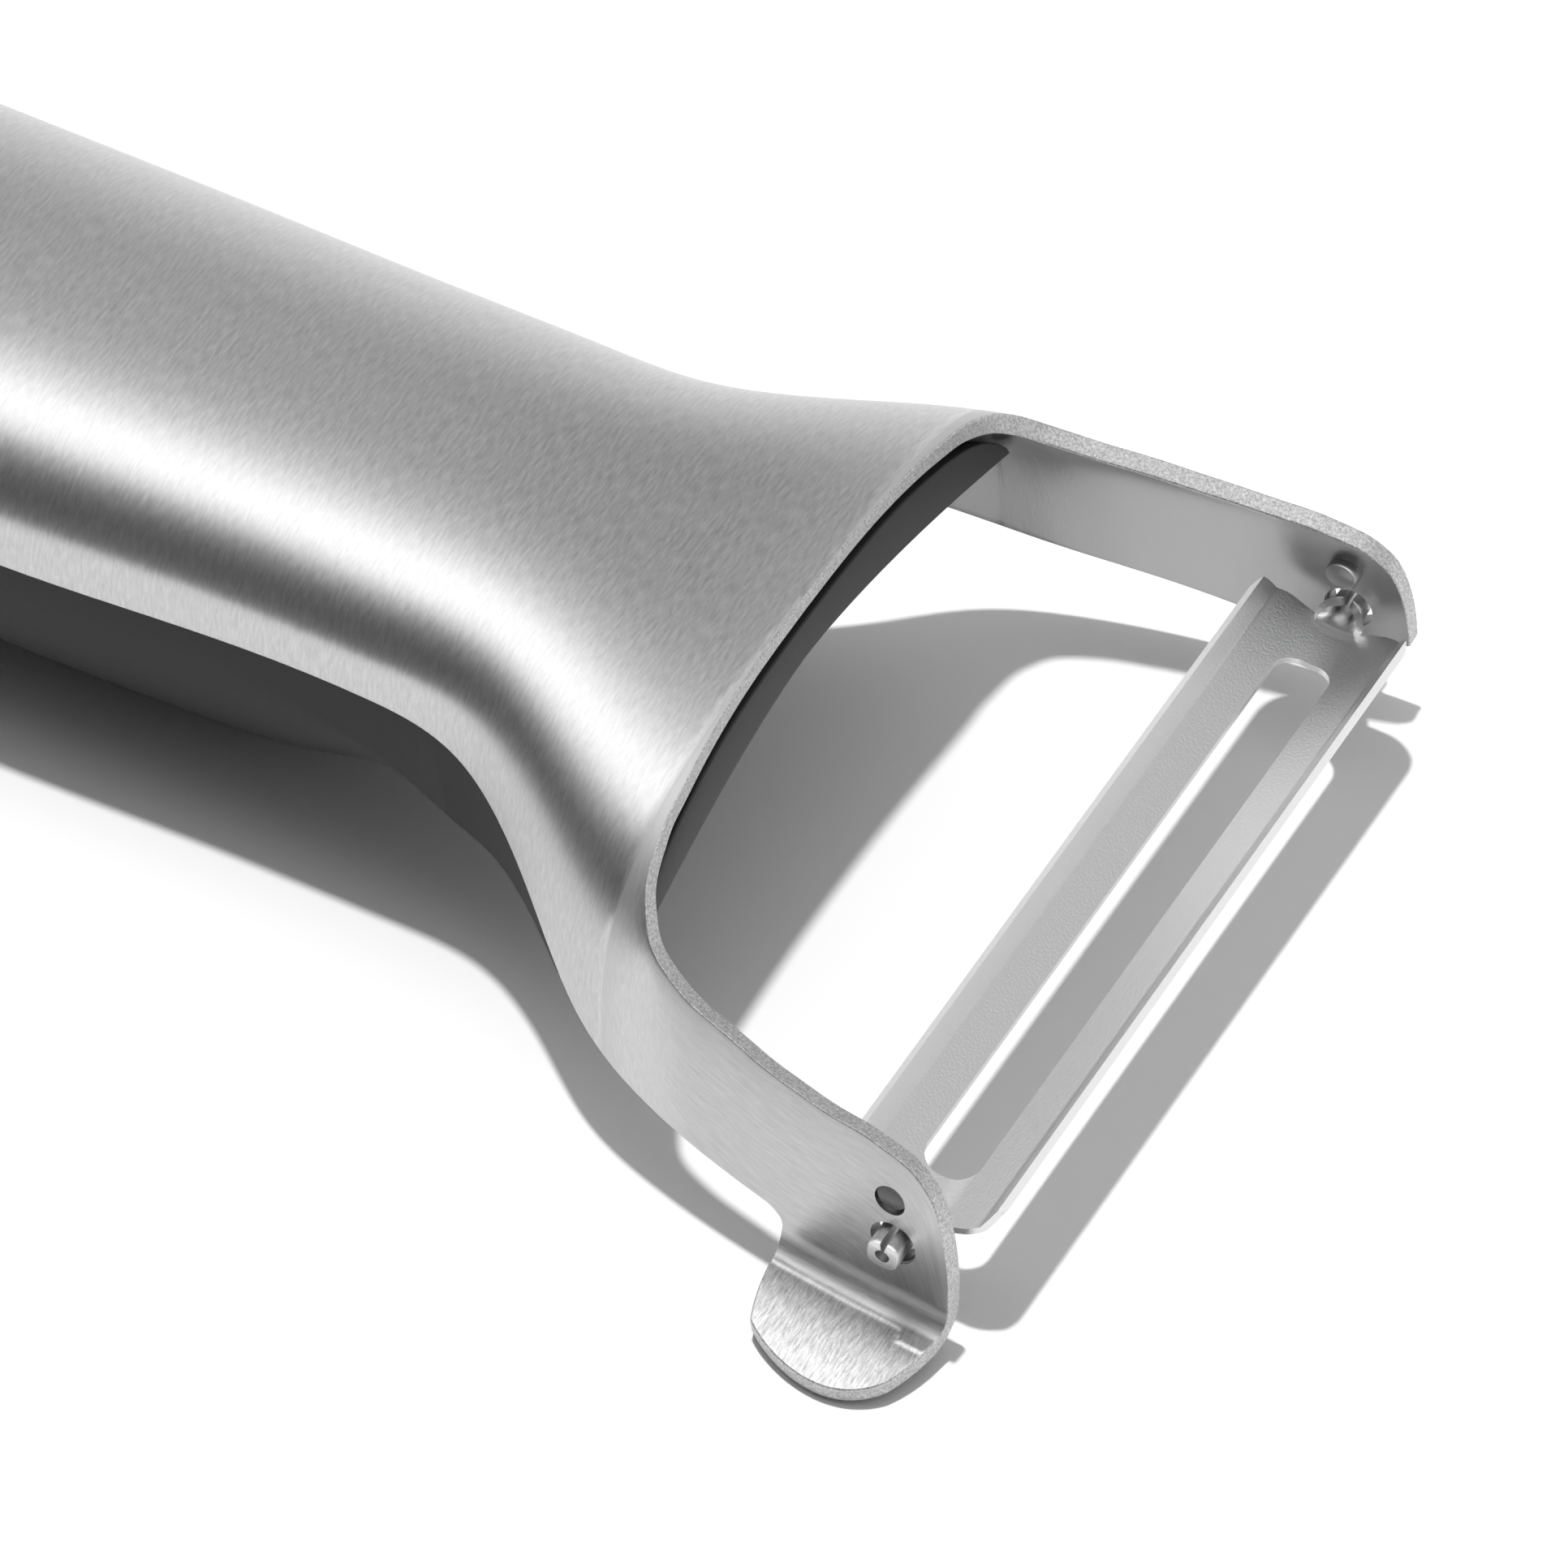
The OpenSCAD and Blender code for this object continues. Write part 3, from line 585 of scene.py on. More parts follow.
def turned(profile, place_at, axis, segments=96):
    """Closed round solid: profile is [distance along the axis, radius] from one end to the other."""
    points = []
    ring = [math.tau * i / segments for i in range(segments)]
    forward = Vector(axis).normalized()
    side = forward.orthogonal().normalized()
    up = forward.cross(side)
    for along, radius in profile:
        centre = Vector(place_at) + forward * along
        for a in ring:
            points.append(centre + (side * math.cos(a) + up * math.sin(a)) * radius)
    last = (len(profile) - 1) * segments
    faces = tube_faces(len(profile), segments)
    faces.append([segments - 1 - i for i in range(segments)])
    faces.append([last + i for i in range(segments)])
    made = bpy.data.meshes.new("turned")
    made.from_pydata([[(c + p) * MM for c, p in zip(point, PIVOT)] for point in points], [], faces)
    return made


def rim_band(shell, outside, inside):
    """Square rim with rounded corners, standing out from the edges of both skins along a closed line."""
    way = np.roll(outside, -1, axis=0) - np.roll(outside, 1, axis=0)
    n = unit_rows(outside - inside)
    e = unit_rows(np.cross(way, n))
    r = rim_r
    arcs = [(r * math.sin(a), r * (1 - math.cos(a))) for a in np.linspace(0, math.pi / 2, rim_points)]
    section = arcs + [(r, r * rim_reach)]
    section += [(out, sheet_t - deep) for out, deep in section[::-1]]
    thick = inside - outside
    thick /= np.linalg.norm(thick, axis=1)[:, None]
    reach = np.linalg.norm(inside - outside, axis=1)[:, None] / sheet_t
    rows = np.stack([outside + out * e + deep * reach * thick for out, deep in section], 1)
    along = np.cumsum(np.linalg.norm(outside - np.roll(outside, 1, axis=0), axis=1))
    flat = np.stack([np.stack([along, 0 * along + rim_flat + out + deep], -1) for out, deep in section], 1)
    rows = np.concatenate([rows, rows[:1]])
    flat = np.concatenate([flat, flat[:1] + [along[-1], 0]])
    shell.grid(rows, flat)


def sheet_mesh():
    """The whole formed sheet: both skins and the rounded rim."""
    skins = []
    for off in (0, sheet_t):
        skins.append([sheet_side(-1, off), sheet_side(1, off), scoop_grid(off)])
    rows = len(skins[0][0]) - 1
    back_rows = rows - last_row
    first = back_rows + scoop_row
    near, far, scoop = skins[0]
    flats = [np.stack([grid[..., 0], arc_lengths(grid)], -1) for grid in (near, far)]
    down = np.cumsum(np.linalg.norm(np.diff(scoop[..., 1:], axis=0), axis=2), axis=0)
    down = np.concatenate([np.zeros((1, scoop_count + 1)), down])
    flats.append(np.stack([scoop[..., 0], scoop_flat + down], -1))

    # the rim as (grid, row, column), round from the tail by the near foot, the scoop and the mouth
    rim = [(0, k, side_cells) for k in range(first + 1)]
    rim += [(2, r, 0) for r in range(1, scoop_rows + 1)]
    rim += [(2, scoop_rows, c) for c in range(1, scoop_count)]
    rim += [(2, r, scoop_count) for r in range(scoop_rows, 0, -1)]
    rim += [(0, rows, j) for j in range(side_cells, 0, -1)]
    rim += [(0, k, 0) for k in range(rows, back_rows, -1)]
    rim += [(1, k, 0) for k in range(back_rows, rows)]
    rim += [(1, rows, j) for j in range(side_cells + 1)]
    rim += [(1, k, side_cells) for k in range(rows - 1, 0, -1)]

    shell = Shell()
    for grids in skins:
        grids[2][0] = grids[0][first:, side_cells]
    edges = [np.array([grids[g][k, j] for g, k, j in rim]) for grids in skins]
    rim_band(shell, edges[0], edges[1])
    for i in (0, 1):
        for g, flip in ((0, False), (1, True), (2, True)):
            shell.grid(skins[i][g], flats[g] + [0, i * inner_flat], inside_out=flip ^ bool(i))
    return shell.mesh("formed_sheet")


def add(tree, kind, values=None, out=0, **settings):
    """Adds one node with its settings; values fill its inputs by name or number. Returns an output."""
    made = tree.nodes.new(kind)
    for name, value in settings.items():
        setattr(made, name, value)
    for key, value in (values or {}).items():
        if isinstance(value, bpy.types.NodeSocket):
            tree.links.new(value, made.inputs[key])
        else:
            made.inputs[key].default_value = value
    return made.outputs[out] if len(made.outputs) else made


def linear(code):
    """Linear colour of an sRGB hex value."""
    parts = [int(code[i:i + 2], 16) / 255 for i in (1, 3, 5)]
    return [p / 12.92 if p <= 0.04045 else ((p + 0.055) / 1.055) ** 2.4 for p in parts] + [1]


def blend(tree, share, first, second, colours=False):
    """Output that goes from the first value to the second as the share goes from 0 to 1."""
    if colours:
        return add(tree, "ShaderNodeMix", {0: share, 6: first, 7: second}, out=2, data_type="RGBA")
    return add(tree, "ShaderNodeMix", {0: share, 2: first, 3: second}, data_type="FLOAT")


def math_node(tree, operation, first, second):
    return add(tree, "ShaderNodeMath", {0: first, 1: second}, operation=operation)


def empty_material(name):
    made = bpy.data.materials.new(name)
    made.use_nodes = True
    made.node_tree.nodes.clear()
    return made, made.node_tree


def finished(made, tree, inputs):
    """Ends a material with a Principled shader of these inputs."""
    shade = add(tree, "ShaderNodeBsdfPrincipled", inputs)
    add(tree, "ShaderNodeOutputMaterial", {"Surface": shade})
    return made


def brushed_steel():
    """Stainless steel, brushed: fine strokes across the handle, along the arms near their tips; the inner
    skin, bores and dimples are painted darker as shade.
    """
    made, tree = empty_material("Stainless steel, brushed")
    flat = add(tree, "ShaderNodeUVMap", uv_map="Lengths")
    where = add(tree, "ShaderNodeTexCoord", out="Object")
    place_x = add(tree, "ShaderNodeSeparateXYZ", {"Vector": where})
    flat_v = add(tree, "ShaderNodeSeparateXYZ", {"Vector": flat}, out=1)

    # shares that tell the faces apart by their place on the flat map
    sheared = math_node(tree, "GREATER_THAN", flat_v, rim_flat / 2)
    outer = math_node(tree, "LESS_THAN", flat_v, inner_flat / 2)
    inner = math_node(tree, "SUBTRACT", math_node(tree, "SUBTRACT", 1.0, outer), sheared)
    tip = add(tree, "ShaderNodeMapRange", {"Value": place_x, "From Min": 0.055, "From Max": 0.064})
    along = math_node(tree, "MULTIPLY", tip, outer)
    past_bend = add(tree, "ShaderNodeMapRange", {
        "Value": flat_v, "From Min": scoop_flat + 1.8, "From Max": scoop_flat + 3.0})
    scoop = math_node(tree, "MULTIPLY", past_bend, outer)

    def by_face(brushed, scoured, inside, cut, colours=False):
        value = blend(tree, scoop, brushed, scoured, colours)
        value = blend(tree, inner, value, inside, colours)
        return blend(tree, sheared, value, cut, colours)

    def strokes(scale, detail, roughness, turn=0.0):
        """Noise drawn out on the flat map; scale is strokes per mm along the peeler and round it."""
        drawn = add(tree, "ShaderNodeMapping", {
            "Vector": flat, "Rotation": (0, 0, turn), "Scale": (*scale, 1)})
        return add(tree, "ShaderNodeTexNoise", {
            "Vector": drawn, "Scale": 1.0, "Detail": detail, "Roughness": roughness})

    def toned(value, low, high, dark, light):
        share = add(tree, "ShaderNodeMapRange", {"Value": value, "From Min": low, "From Max": high})
        return blend(tree, share, linear(dark), linear(light), colours=True)

    # strokes 0.2 mm apart and 1.2 mm long, and sparser slanting ones where the scoop is brushed by hand
    fine = blend(tree, along, strokes((5.0, 0.8), 4.0, 0.65), strokes((0.5, 4.0), 4.0, 0.65))
    marks = blend(tree, scoop, fine, strokes((6.0, 0.9), 3.0, 0.8, turn=0.5))
    grain = add(tree, "ShaderNodeTexNoise", {
        "Vector": where, "Scale": 6000.0, "Detail": 2.0, "Roughness": 0.7})
    relief = blend(tree, sheared, marks, grain)
    depth = by_face(0.22, 0.5, 0.22, 0.7)
    bump = add(tree, "ShaderNodeBump", {"Height": relief, "Strength": depth, "Distance": 0.00004})
    brushed_rough = add(tree, "ShaderNodeMapRange", {
        "Value": marks, "From Min": 0.3, "From Max": 0.7, "To Min": 0.32, "To Max": 0.4})
    # the inner skin's flat darker grey is painted shade on the faces that look down and inward
    colour = by_face(
        toned(marks, 0.25, 0.75, "#B6B6B6", "#D6D6D6"),
        toned(marks, 0.34, 0.66, "#A6A6A6", "#E6E6E6"),
        linear("#ADADAD"),
        toned(grain, 0.35, 0.65, "#A4A4A4", "#D6D6D6"),
        colours=True)

    # bored and pressed faces have no place on the flat map; they are painted darker, painted shade in the
    # holes and dimples
    size = add(tree, "ShaderNodeVectorMath", {0: flat}, out=1, operation="LENGTH")
    bore_shade = math_node(tree, "LESS_THAN", size, 0.001)
    return finished(made, tree, {
        "Base Color": blend(tree, bore_shade, colour, linear("#777777"), colours=True),
        "Metallic": 1.0,
        "Roughness": by_face(brushed_rough, 0.3, 0.34, 0.5),
        "Anisotropic": by_face(0.78, 0.3, 0.78, 0.0),
        "Anisotropic Rotation": math_node(tree, "MULTIPLY", along, 0.25),
        "Tangent": add(tree, "ShaderNodeTangent", direction_type="UV_MAP", uv_map="Lengths"),
        "Normal": bump,
    })


def blade_steel():
    """Stainless steel, tumbled satin, with rougher faces near its edges that carry a painted glint."""
    made, tree = empty_material("Stainless steel, satin")
    where = add(tree, "ShaderNodeTexCoord", out="Object")
    facing = add(tree, "ShaderNodeTexCoord", out="Normal")
    place_x = add(tree, "ShaderNodeSeparateXYZ", {"Vector": where})
    way_x = add(tree, "ShaderNodeSeparateXYZ", {"Vector": facing})
    way_z = add(tree, "ShaderNodeSeparateXYZ", {"Vector": facing}, out=2)

    # painted glint: faces far from the pivot that look away from it and up are drawn lighter and less
    # metallic, as if catching the light, and get a rougher bump
    off_middle = math_node(tree, "SUBTRACT", place_x, float(pivot_x * MM))
    outward_x = math_node(tree, "MULTIPLY", off_middle, way_x)
    at_edge = math_node(tree, "GREATER_THAN", outward_x, 0.001)
    painted_glint = math_node(tree, "MULTIPLY", at_edge, math_node(tree, "GREATER_THAN", way_z, 0.3))
    grain = add(tree, "ShaderNodeTexNoise", {
        "Vector": where, "Scale": 5500.0, "Detail": 3.0, "Roughness": 0.7})
    depth = blend(tree, painted_glint, 0.6, 1.0)
    # the lighter colour and lower metal on the faces near the edges are a painted glint
    return finished(made, tree, {
        "Base Color": blend(tree, painted_glint, linear("#E2E2E2"), linear("#F4F4F4"), colours=True),
        "Metallic": blend(tree, painted_glint, 1.0, 0.4),
        "Roughness": 0.36,
        "Normal": add(tree, "ShaderNodeBump", {"Height": grain, "Strength": depth, "Distance": 0.00004}),
    })


def grained(name, code, roughness, scale, depth):
    """Moulded plastic of one colour with a fine grain."""
    made, tree = empty_material(name)
    where = add(tree, "ShaderNodeTexCoord", out="Object")
    grain = add(tree, "ShaderNodeTexNoise", {"Vector": where, "Scale": scale, "Detail": 3.0})
    return finished(made, tree, {
        "Base Color": linear(code),
        "Roughness": roughness,
        "Normal": add(tree, "ShaderNodeBump", {"Height": grain, "Strength": depth, "Distance": 0.00005}),
    })


steel = brushed_steel()
satin = blade_steel()
nylon = grained("Nylon, spark-eroded", "#232325", 0.6, 4000.0, 0.4)
rubber = grained("Thermoplastic rubber, matt", "#202022", 0.7, 3000.0, 0.3)


def formed_sheet():
    """The brushed sheet with its pivot holes, stops, dimples and hanging hole."""
    piece = place(sheet_mesh(), "formed_sheet", steel, "body")
    lip = hole_lip
    knee = lip * hole_knee
    r = pivot_hole_d / 2
    d = stop_d / 2
    hole = [(-cut_past, r + lip), (0, r + lip), (knee, r + knee), (lip, r), (sheet_t - lip, r),
            (sheet_t - knee, r + knee), (sheet_t, r + lip), (sheet_t + cut_past, r + lip)]
    dimple = [(-cut_past, d + lip), (0, d + lip), (lip, d), (stop_dimple - dimple_wall, d),
              (stop_dimple - dimple_knee, d - dimple_knee), (stop_dimple, d - dimple_round)]
    nub = [(-sheet_t / 3, d), (stop_h - stop_round, d), (stop_h - stop_knee, d - stop_knee),
           (stop_h, d - stop_round)]
    cutters = []
    nubs = []
    for side in (-1, 1):
        inward = (0, -side, 0)
        cutters.append(turned(hole, (0, side * arm_outer, 0), inward))
        cutters.append(turned(dimple, (-stop_back, side * arm_outer, stop_up), inward))
        mesh = turned(nub, (-stop_back, side * arm_inner, stop_up), inward)
        flat = mesh.uv_layers.new(name="Lengths")
        flat.data.foreach_set("uv", [5.0, inner_flat + 5.0] * len(mesh.loops))
        nubs.append(mesh)
    hang = hang_d / 2 + collar_t + fit_gap
    cutters.append(turned([(-sheet_bore, hang), (sheet_bore, hang)], (hang_x, 0, handle_top), (0, 0, 1)))
    finish_shading(cut(piece, cutters), cut_crease)
    finish_shading(cut(piece, nubs, "UNION"), cut_crease)
    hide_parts("steel_body")


def core_ring(x, lip, f, g, drop, bevel):
    """Closed section of the core; lip is 0 behind the seam and 1 for the arched front lip."""
    x = np.full(1, float(x))
    low = np.maximum(edge_at(x), mix(edge_at(x * 0 - seam_back), lip_side, lip)) if lip > 0 else edge_at(x)
    s = np.linspace(-1, 1, arch_cells + 1)
    xs = x + lip_bow * lip * np.abs(s) ** lip_power
    off = core_off + drop * step_at(np.abs(s) * (len(step_shares) - 1)) + bevel
    tall = top_at(xs) - core_off - bevel - edge_at(xs)
    end = (low + (lip_blunt + bevel) * min(1, lip * blunt_rate) - edge_at(xs)) / tall if lip > 0 else 0
    side = np.minimum(math.pi / 2, angle_of_z(xs, mix(edge_at(xs), top_at(xs), end)))
    upper = skin(xs, np.abs(s) * side, off, f, g)
    upper[:, 1] *= np.sign(s)
    s = np.sin(math.pi / 2 - math.pi * np.arange(1, arch_cells) / arch_cells)
    xs = x + lip_bow * lip * np.abs(s) ** lip_power
    if lip > 0:
        share = (low + bevel - edge_at(xs)) / (top_at(xs) - core_off - bevel - edge_at(xs))
        y = inner_half(xs, core_off + bevel) * side_share(share, square_at(xs))
        z = mix(middle_at(x), low, np.abs(s) ** lip_power) + bevel
    else:
        y = inner_half(x, core_off) * f + 0 * s
        z = low + lift_at(x) * (1 - np.abs(s) ** arch_power)
    lower = np.stack([xs + 0 * s, y * s, z + 0 * s], -1)
    return np.concatenate([upper, lower])


def grip_ring(x, f, g):
    """Closed section of the grip, flush under the sheet's edge and arched between its sides."""
    x = np.full(1, float(x))
    top = edge_at(x) - fit_gap
    low = top - wall_at(x)
    side = mix(top, low, g)
    half = (half_at(x) - fit_gap) * f
    inner = np.minimum(inner_half(x, core_off), half_at(x) - fit_gap) * f
    s = np.linspace(-1, 1, arch_cells - 1)
    arch = np.stack([x + 0 * s, inner * s, top + lift_at(x) * (1 - np.abs(s) ** arch_power)], -1)
    first = np.array([[x[0], -half[0], top[0]]])
    last = np.array([[x[0], half[0], top[0]]])
    t = math.pi / 2 - math.pi * np.arange(arch_cells + 1) / arch_cells
    power = 2 - belly_share_at(x)
    z = side + (middle_at(x) - low) * g * np.maximum(np.cos(t), 0) ** power
    lower = np.stack([x + 0 * t, half * np.sin(t), np.maximum(z, -pivot_height)], -1)
    return np.concatenate([first, arch, last, lower])


def loft(name, rings):
    """Closed mesh through rings of equal counts, its ends zipped between upper and lower points."""
    n = len(rings[0])
    m = len(rings)
    points = np.concatenate(rings) * MM + PIVOT * MM
    faces = [face[::-1] for face in tube_faces(m, n)]
    odd = n // 2 - arch_cells
    for end, flip in ((0, False), ((m - 1) * n, True)):
        for i in range(arch_cells):
            a = (n - i - odd) % n
            b = n - i - 1 - odd
            face = [end + p for p in (i + 1, i, a, b)]
            face = [p for k, p in enumerate(face) if p != face[k - 1]]
            faces.append(face if flip else face[::-1])
    made = bpy.data.meshes.new(name)
    made.from_pydata(points.tolist(), [], faces)
    weld(made)
    return made


tail_us = np.linspace(tail_start, 1, tail_rings)


def hard_core():
    """The plastic core: plate under the sheet, arched lip and the collar of the hanging hole."""
    rings = []
    for u in tail_us:
        f = float(tail_f(u))
        x = tail_x + core_off + (tail_round - core_off) * tail_in(u)
        rings.append(core_ring(x, 0, f, f ** tail_roll, 0, 0))
    for x in np.linspace(tail_x + tail_round, -seam_back - fit_gap, core_rows)[1:]:
        rings.append(core_ring(x, 0, 1, 1, 0, 0))
    lip_x = -mouth_back - lip_back
    lip_start = -seam_back + fit_gap
    step_x = lip_x - lip_step_in

    def lip_ring(x, drop, bevel):
        lip = mix(lip_least, 1, min(1, (x - lip_start) / (lip_x - lip_bevel - lip_start)))
        rings.append(core_ring(x, lip, 1, 1, drop, bevel))

    for x in np.linspace(lip_start, step_x, lip_rows):
        lip_ring(x, 0, 0)
    for x in np.linspace(step_x + step_run, lip_x - lip_bevel, lip_rows):
        lip_ring(x, lip_step, 0)
    for i in range(1, bevel_rows + 1):
        a = math.pi / 2 * i / bevel_rows
        lip_ring(lip_x - lip_bevel * (1 - math.sin(a)), lip_step, lip_bevel * (1 - math.cos(a)))
    piece = place(loft("hard_core", rings), "hard_core", nylon, "body")
    bore = hang_d / 2
    r = bore + collar_t
    rise = handle_top + collar_up
    collar = [(collar_clear - pivot_height, r), (rise - collar_round, r),
              (rise - collar_knee, r - collar_knee), (rise, r - collar_round)]
    hole = [(-deep_bore, bore), (rise - bore_flare, bore), (rise, bore + bore_flare),
            (rise + flare_past, bore + bore_flare)]
    cut(piece, [turned(collar, (hang_x, 0, 0), (0, 0, 1))], "UNION")
    finish_shading(cut(piece, [turned(hole, (hang_x, 0, 0), (0, 0, 1))]))
    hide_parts("handle_core")


def soft_grip():
    """The rubber grip under the handle."""
    rings = []
    for u in tail_us:
        f = float(tail_f(u))
        rings.append(grip_ring(tail_x + fit_gap + (tail_round - fit_gap) * tail_in(u), f, f ** tail_roll))
    for x in np.linspace(tail_x + tail_round, -seam_back - 2 * fit_gap, grip_rows)[1:]:
        rings.append(grip_ring(x, 1, 1))
    piece = place(loft("rubber_grip", rings), "rubber_grip", rubber, "body")
    r = hang_d / 2 + collar_t + fit_gap
    finish_shading(cut(piece, [turned([(-deep_bore, r), (deep_bore, r)], (hang_x, 0, 0), (0, 0, 1))]))
    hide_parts("soft_grip")


def blade_section():
    """Half of the blade's upper outline, middle to edge, as [place, height]."""
    slope = math.radians(blade_slope)
    steep = math.radians(edge_slope)
    trough_r = slot_w / 2 / math.sin(slope)
    side_end = (blade_w / 2 - blade_t * math.sin(steep) - edge_l * math.cos(steep)
                - fold_r * (math.sin(steep) - math.sin(slope)))
    rise = (side_end - slot_w / 2) * math.tan(slope)
    line = []
    for i in range(fold_steps + 1):
        a = slope * i / fold_steps
        line.append((trough_r * math.sin(a), trough_r * (math.cos(slope) - math.cos(a))))
    for i in range(fold_steps + 1):
        a = mix(slope, steep, i / fold_steps)
        line.append((side_end + fold_r * (math.sin(a) - math.sin(slope)),
                     rise + fold_r * (math.cos(slope) - math.cos(a))))
    x, z = line[-1]
    line.append((x + edge_l * math.cos(steep), z + edge_l * math.sin(steep)))
    return line


def strip_tree():
    """Tree that draws a section out along Y, thickens it and trims it with rounded outline and slot."""
    tree = bpy.data.node_groups.new("Slotted strip", "GeometryNodeTree")
    face = tree.interface
    face.new_socket("Geometry", in_out="INPUT", socket_type="NodeSocketGeometry")
    sizes = ("Length", "Overrun", "Thickness", "Width", "Corner")
    for name in sizes + ("Slot Width", "Slot Length", "Slot Corner"):
        face.new_socket(name, in_out="INPUT", socket_type="NodeSocketFloat")
    face.new_socket("Material", in_out="INPUT", socket_type="NodeSocketMaterial")
    face.new_socket("Geometry", in_out="OUTPUT", socket_type="NodeSocketGeometry")
    given = tree.nodes.new("NodeGroupInput").outputs

    def welded(first, second):
        """Two surfaces with their edges joined; the first has its faces turned over."""
        flipped = add(tree, "GeometryNodeFlipFaces", {"Mesh": first})
        both = add(tree, "GeometryNodeJoinGeometry", {"Geometry": second})
        tree.links.new(flipped, tree.nodes[-1].inputs["Geometry"])
        return add(tree, "GeometryNodeMergeByDistance", {"Geometry": both, "Distance": weld_near})

    def prism(width, length, corner):
        outline = add(tree, "GeometryNodeCurvePrimitiveQuadrilateral", {"Width": width, "Height": length})
        rounded = add(tree, "GeometryNodeFilletCurve",
                      {"Curve": outline, "Count": corner_points, "Radius": corner}, mode="POLY")
        filled = add(tree, "GeometryNodeFillCurve", {"Curve": rounded}, mode="NGONS")
        raised = add(tree, "GeometryNodeExtrudeMesh", {"Mesh": filled, "Offset Scale": prism_h})
        return add(tree, "GeometryNodeTransform",
                   {"Geometry": welded(filled, raised), "Translation": (0, 0, -prism_h / 2)})

    past_both = add(tree, "ShaderNodeMath", {0: given["Overrun"], 1: 2.0}, operation="MULTIPLY")
    whole = add(tree, "ShaderNodeMath", {0: given["Length"], 1: past_both}, operation="ADD")
    run = add(tree, "ShaderNodeCombineXYZ", {"Y": whole})
    wall = add(tree, "GeometryNodeExtrudeMesh",
               {"Mesh": given["Geometry"], "Offset": run, "Offset Scale": 1.0}, mode="EDGES")
    moved = add(tree, "GeometryNodeExtrudeMesh",
                {"Mesh": wall, "Offset Scale": given["Thickness"], "Individual": False}, mode="FACES")
    shell = welded(wall, moved)
    outline = prism(given["Width"], given["Length"], given["Corner"])
    trimmed = add(tree, "GeometryNodeMeshBoolean", {1: outline}, operation="INTERSECT", solver="EXACT")
    tree.links.new(shell, tree.nodes[-1].inputs[1])
    slot = prism(given["Slot Width"], given["Slot Length"], given["Slot Corner"])
    slotted = add(tree, "GeometryNodeMeshBoolean", {0: trimmed, 1: slot}, operation="DIFFERENCE",
                  solver="EXACT")
    real = add(tree, "GeometryNodeRealizeInstances", {"Geometry": slotted})
    dressed = add(tree, "GeometryNodeSetMaterial", {"Geometry": real, "Material": given["Material"]})
    out = tree.nodes.new("NodeGroupOutput")
    tree.links.new(dressed, out.inputs[0])
    return tree


def run_tree(piece, tree, values):
    """Runs a tree on a piece with its named inputs filled, and keeps the result as plain mesh."""
    step = piece.modifiers.new(tree.name, "NODES")
    step.node_group = tree
    for item in tree.interface.items_tree:
        if item.in_out == "INPUT" and item.name in values:
            step[item.identifier] = values[item.name]
    return baked(piece)


def seat(mesh):
    """Tilts a mesh made about the pivot's axis and moves it to the pivot."""
    mesh.transform(Matrix.Rotation(math.radians(blade_tilt), 4, "Y"))
    mesh.transform(Matrix.Translation(Vector(PIVOT) * MM))
    finish_shading(mesh)


def swivel_blade():
    """The slotted blade."""
    line = blade_section()
    section = [(-x, z) for x, z in line[:0:-1]] + line
    start = -blade_l / 2 - blade_t
    made = bpy.data.meshes.new("swivel_blade")
    points = [(x * MM, start * MM, z * MM) for x, z in section]
    made.from_pydata(points, [(i, i + 1) for i in range(len(points) - 1)], [])
    piece = in_scene("swivel_blade", made)
    seat(run_tree(piece, strip_tree(), {
        "Length": blade_l * MM,
        "Overrun": blade_t * MM,
        "Thickness": blade_t * MM,
        "Width": blade_w * MM,
        "Corner": blade_corner * MM,
        "Slot Width": slot_w * MM,
        "Slot Length": slot_l * MM,
        "Slot Corner": slot_corner * MM,
        "Material": satin,
    }))
    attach(piece, "blade")
    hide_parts("blade")


def rolled_tab(side):
    """Tab at one end of the blade, rolled up from the trough's curve into an open squarish pin."""
    rings = []

    def ring(y, turn, radius, foot, share, inset):
        a = np.linspace(-turn, turn, tab_cells + 1)
        power = mix(2, pin_square, share)
        swell = (np.abs(np.sin(a)) ** power + np.abs(np.cos(a)) ** power) ** (-1 / power)
        far = radius * swell - inset
        near = radius - tab_wall + 0 * a
        outer, inner = (np.stack([r * np.sin(a), 0 * a + y, foot + radius - r * np.cos(a)], -1)
                        for r in (far, near))
        rings.append(np.concatenate([outer, inner[::-1]]))

    last_turn = math.pi - math.radians(pin_seam) / 2
    for u in np.linspace(0, 1, tab_rows):
        share = smooth_step(u)
        turn = mix(tab_turn, last_turn, share)
        length = mix(tab_half, pin_d / 2 * last_turn, share)
        y = blade_l / 2 - tab_lap + tab_l * u
        ring(y, turn, length / turn, mix(-blade_t, -pin_d / 2, share), share, 0)
    for back, inset in pin_end:
        ring(pin_out - back, last_turn, pin_d / 2, -pin_d / 2, 1, inset)
    n = len(rings[0])
    last = (len(rings) - 1) * n
    points = np.concatenate(rings) * [1, side, 1] * MM
    faces = tube_faces(len(rings), n)
    for i in range(tab_cells):
        faces.append((n - 1 - i, n - 2 - i, i + 1, i))
        faces.append((last + i, last + i + 1, last + n - 2 - i, last + n - 1 - i))
    if side < 0:
        faces = [face[::-1] for face in faces]
    name = "near_pin" if side < 0 else "far_pin"
    made = bpy.data.meshes.new(name)
    made.from_pydata(points.tolist(), [], faces)
    seat(made)
    place(made, name, satin, "blade")


formed_sheet()
hard_core()
soft_grip()
swivel_blade()
rolled_tab(-1)
rolled_tab(1)


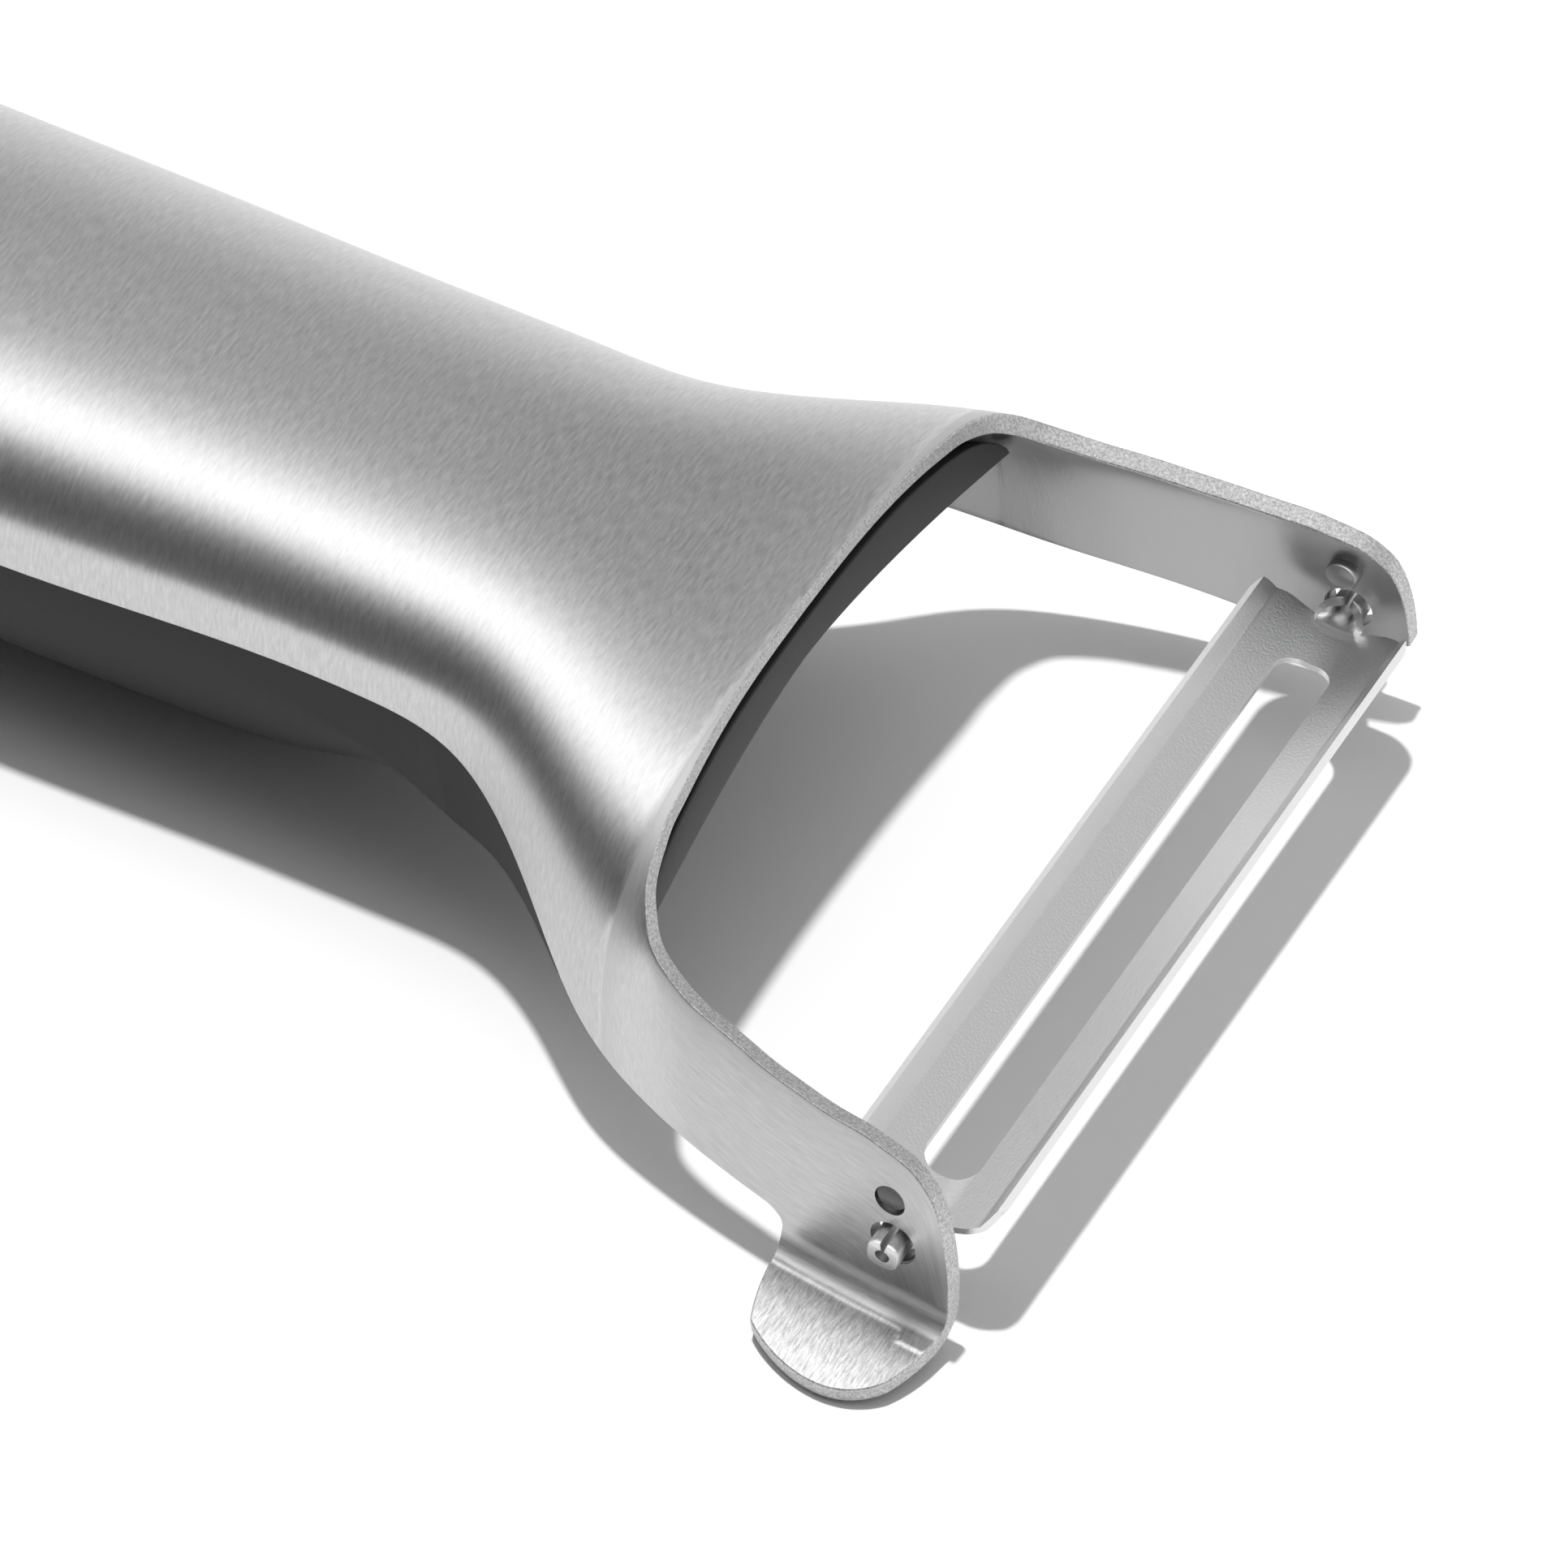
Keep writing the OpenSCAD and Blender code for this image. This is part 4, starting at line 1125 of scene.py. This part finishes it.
def floor():
    """Plain white floor, which carries the shadow."""
    reach = 4.0
    corners = [(-reach, -reach, 0), (reach, -reach, 0), (reach, reach, 0), (-reach, reach, 0)]
    made = bpy.data.meshes.new("floor")
    made.from_pydata(corners, [], [(0, 1, 2, 3)])
    material, tree = empty_material("Paper, white")
    shade = add(tree, "ShaderNodeBsdfDiffuse", {"Color": (0.97, 0.97, 0.97, 1)})
    add(tree, "ShaderNodeOutputMaterial", {"Surface": shade})
    made.materials.append(material)
    in_scene("floor", made)


def world():
    """Studio surroundings: a bright band overhead between darker ones, and a panel to the left."""
    made = bpy.data.worlds.new("Studio")
    bpy.context.scene.world = made
    made.use_nodes = True
    tree = made.node_tree
    tree.nodes.clear()
    way = add(tree, "ShaderNodeTexCoord", out="Generated")
    x, y, z = (add(tree, "ShaderNodeSeparateXYZ", {"Vector": way}, out=i) for i in range(3))

    def ramp(value, stops):
        made = tree.nodes.new("ShaderNodeValToRGB")
        tree.links.new(value, made.inputs[0])
        bar = made.color_ramp
        for i, (at, level) in enumerate(stops):
            stop = bar.elements[i] if i < 2 else bar.elements.new(at)
            stop.position = at
            stop.color = (level, level, level, 1)
        return made.outputs[0]

    def rising(value, low, high):
        return add(tree, "ShaderNodeMapRange", {"Value": value, "From Min": low, "From Max": high},
                   interpolation_type="SMOOTHSTEP")

    # bands along the handle as [degrees from straight up, brightness], from the camera's side to the far
    # side; reflections see them at twice the strength that scattered light gets, so they are stored halved
    bands = [(-90, 0.15), (-50, 0.14), (-35, 0.18), (-22, 0.36), (-14, 0.9), (-7, 1.7), (2, 2.3),
             (10, 2.2), (17, 1.45), (24, 0.78), (31, 0.45), (38, 0.28), (46, 0.3), (58, 0.6), (72, 0.95),
             (90, 1)]
    angle = math_node(tree, "ARCTAN2", y, z)
    turn = add(tree, "ShaderNodeMapRange", {
        "Value": angle, "From Min": -math.pi / 2, "From Max": math.pi / 2})
    banded = ramp(turn, [((a + 90) / 180, level / 2) for a, level in bands])

    # the window-like panel to the left, which shows in the blade's front strip
    sideways = math_node(tree, "MULTIPLY", rising(x, -0.4, -0.6), rising(y, -0.35, 0.45))
    height = ramp(z, [(0.2, 0), (0.35, 1), (0.72, 1), (0.85, 0)])
    panel = math_node(tree, "MULTIPLY", sideways, height)
    whole = blend(tree, panel, banded, (0.6, 0.6, 0.6, 1), colours=True)
    scattered = add(tree, "ShaderNodeLightPath", out="Is Diffuse Ray")
    strength = blend(tree, scattered, 2.0, 1.0)
    shade = add(tree, "ShaderNodeBackground", {"Color": whole, "Strength": strength})
    add(tree, "ShaderNodeOutputWorld", {"Surface": shade})


def lamp():
    """Small key lamp nearly overhead; its reflection is part of the world's bright band instead."""
    made = bpy.data.lights.new("key", "SUN")
    made.energy = 2.3
    made.angle = math.radians(2.5)
    piece = in_scene("key", made)
    piece.visible_glossy = False
    piece.rotation_euler = Vector((-0.109, 0.06, 1)).to_track_quat("Z", "Y").to_euler()


def camera():
    """Long lens above the near corner of the head."""
    made = bpy.data.cameras.new("camera")
    made.lens = 327.95
    made.sensor_width = 36
    piece = in_scene("camera", made)
    right = Vector((0.8755, 0.4833, 0)).normalized()
    back = Vector((0.3265, -0.5915, 0.7373)).normalized()
    turn = Matrix((right, back.cross(right), back)).transposed().to_4x4()
    piece.matrix_world = Matrix.Translation(Vector((350.63, -538.35, 677.84)) * MM) @ turn
    bpy.context.scene.camera = piece


floor()
world()
lamp()
camera()
bpy.context.scene.view_settings.view_transform = "Standard"
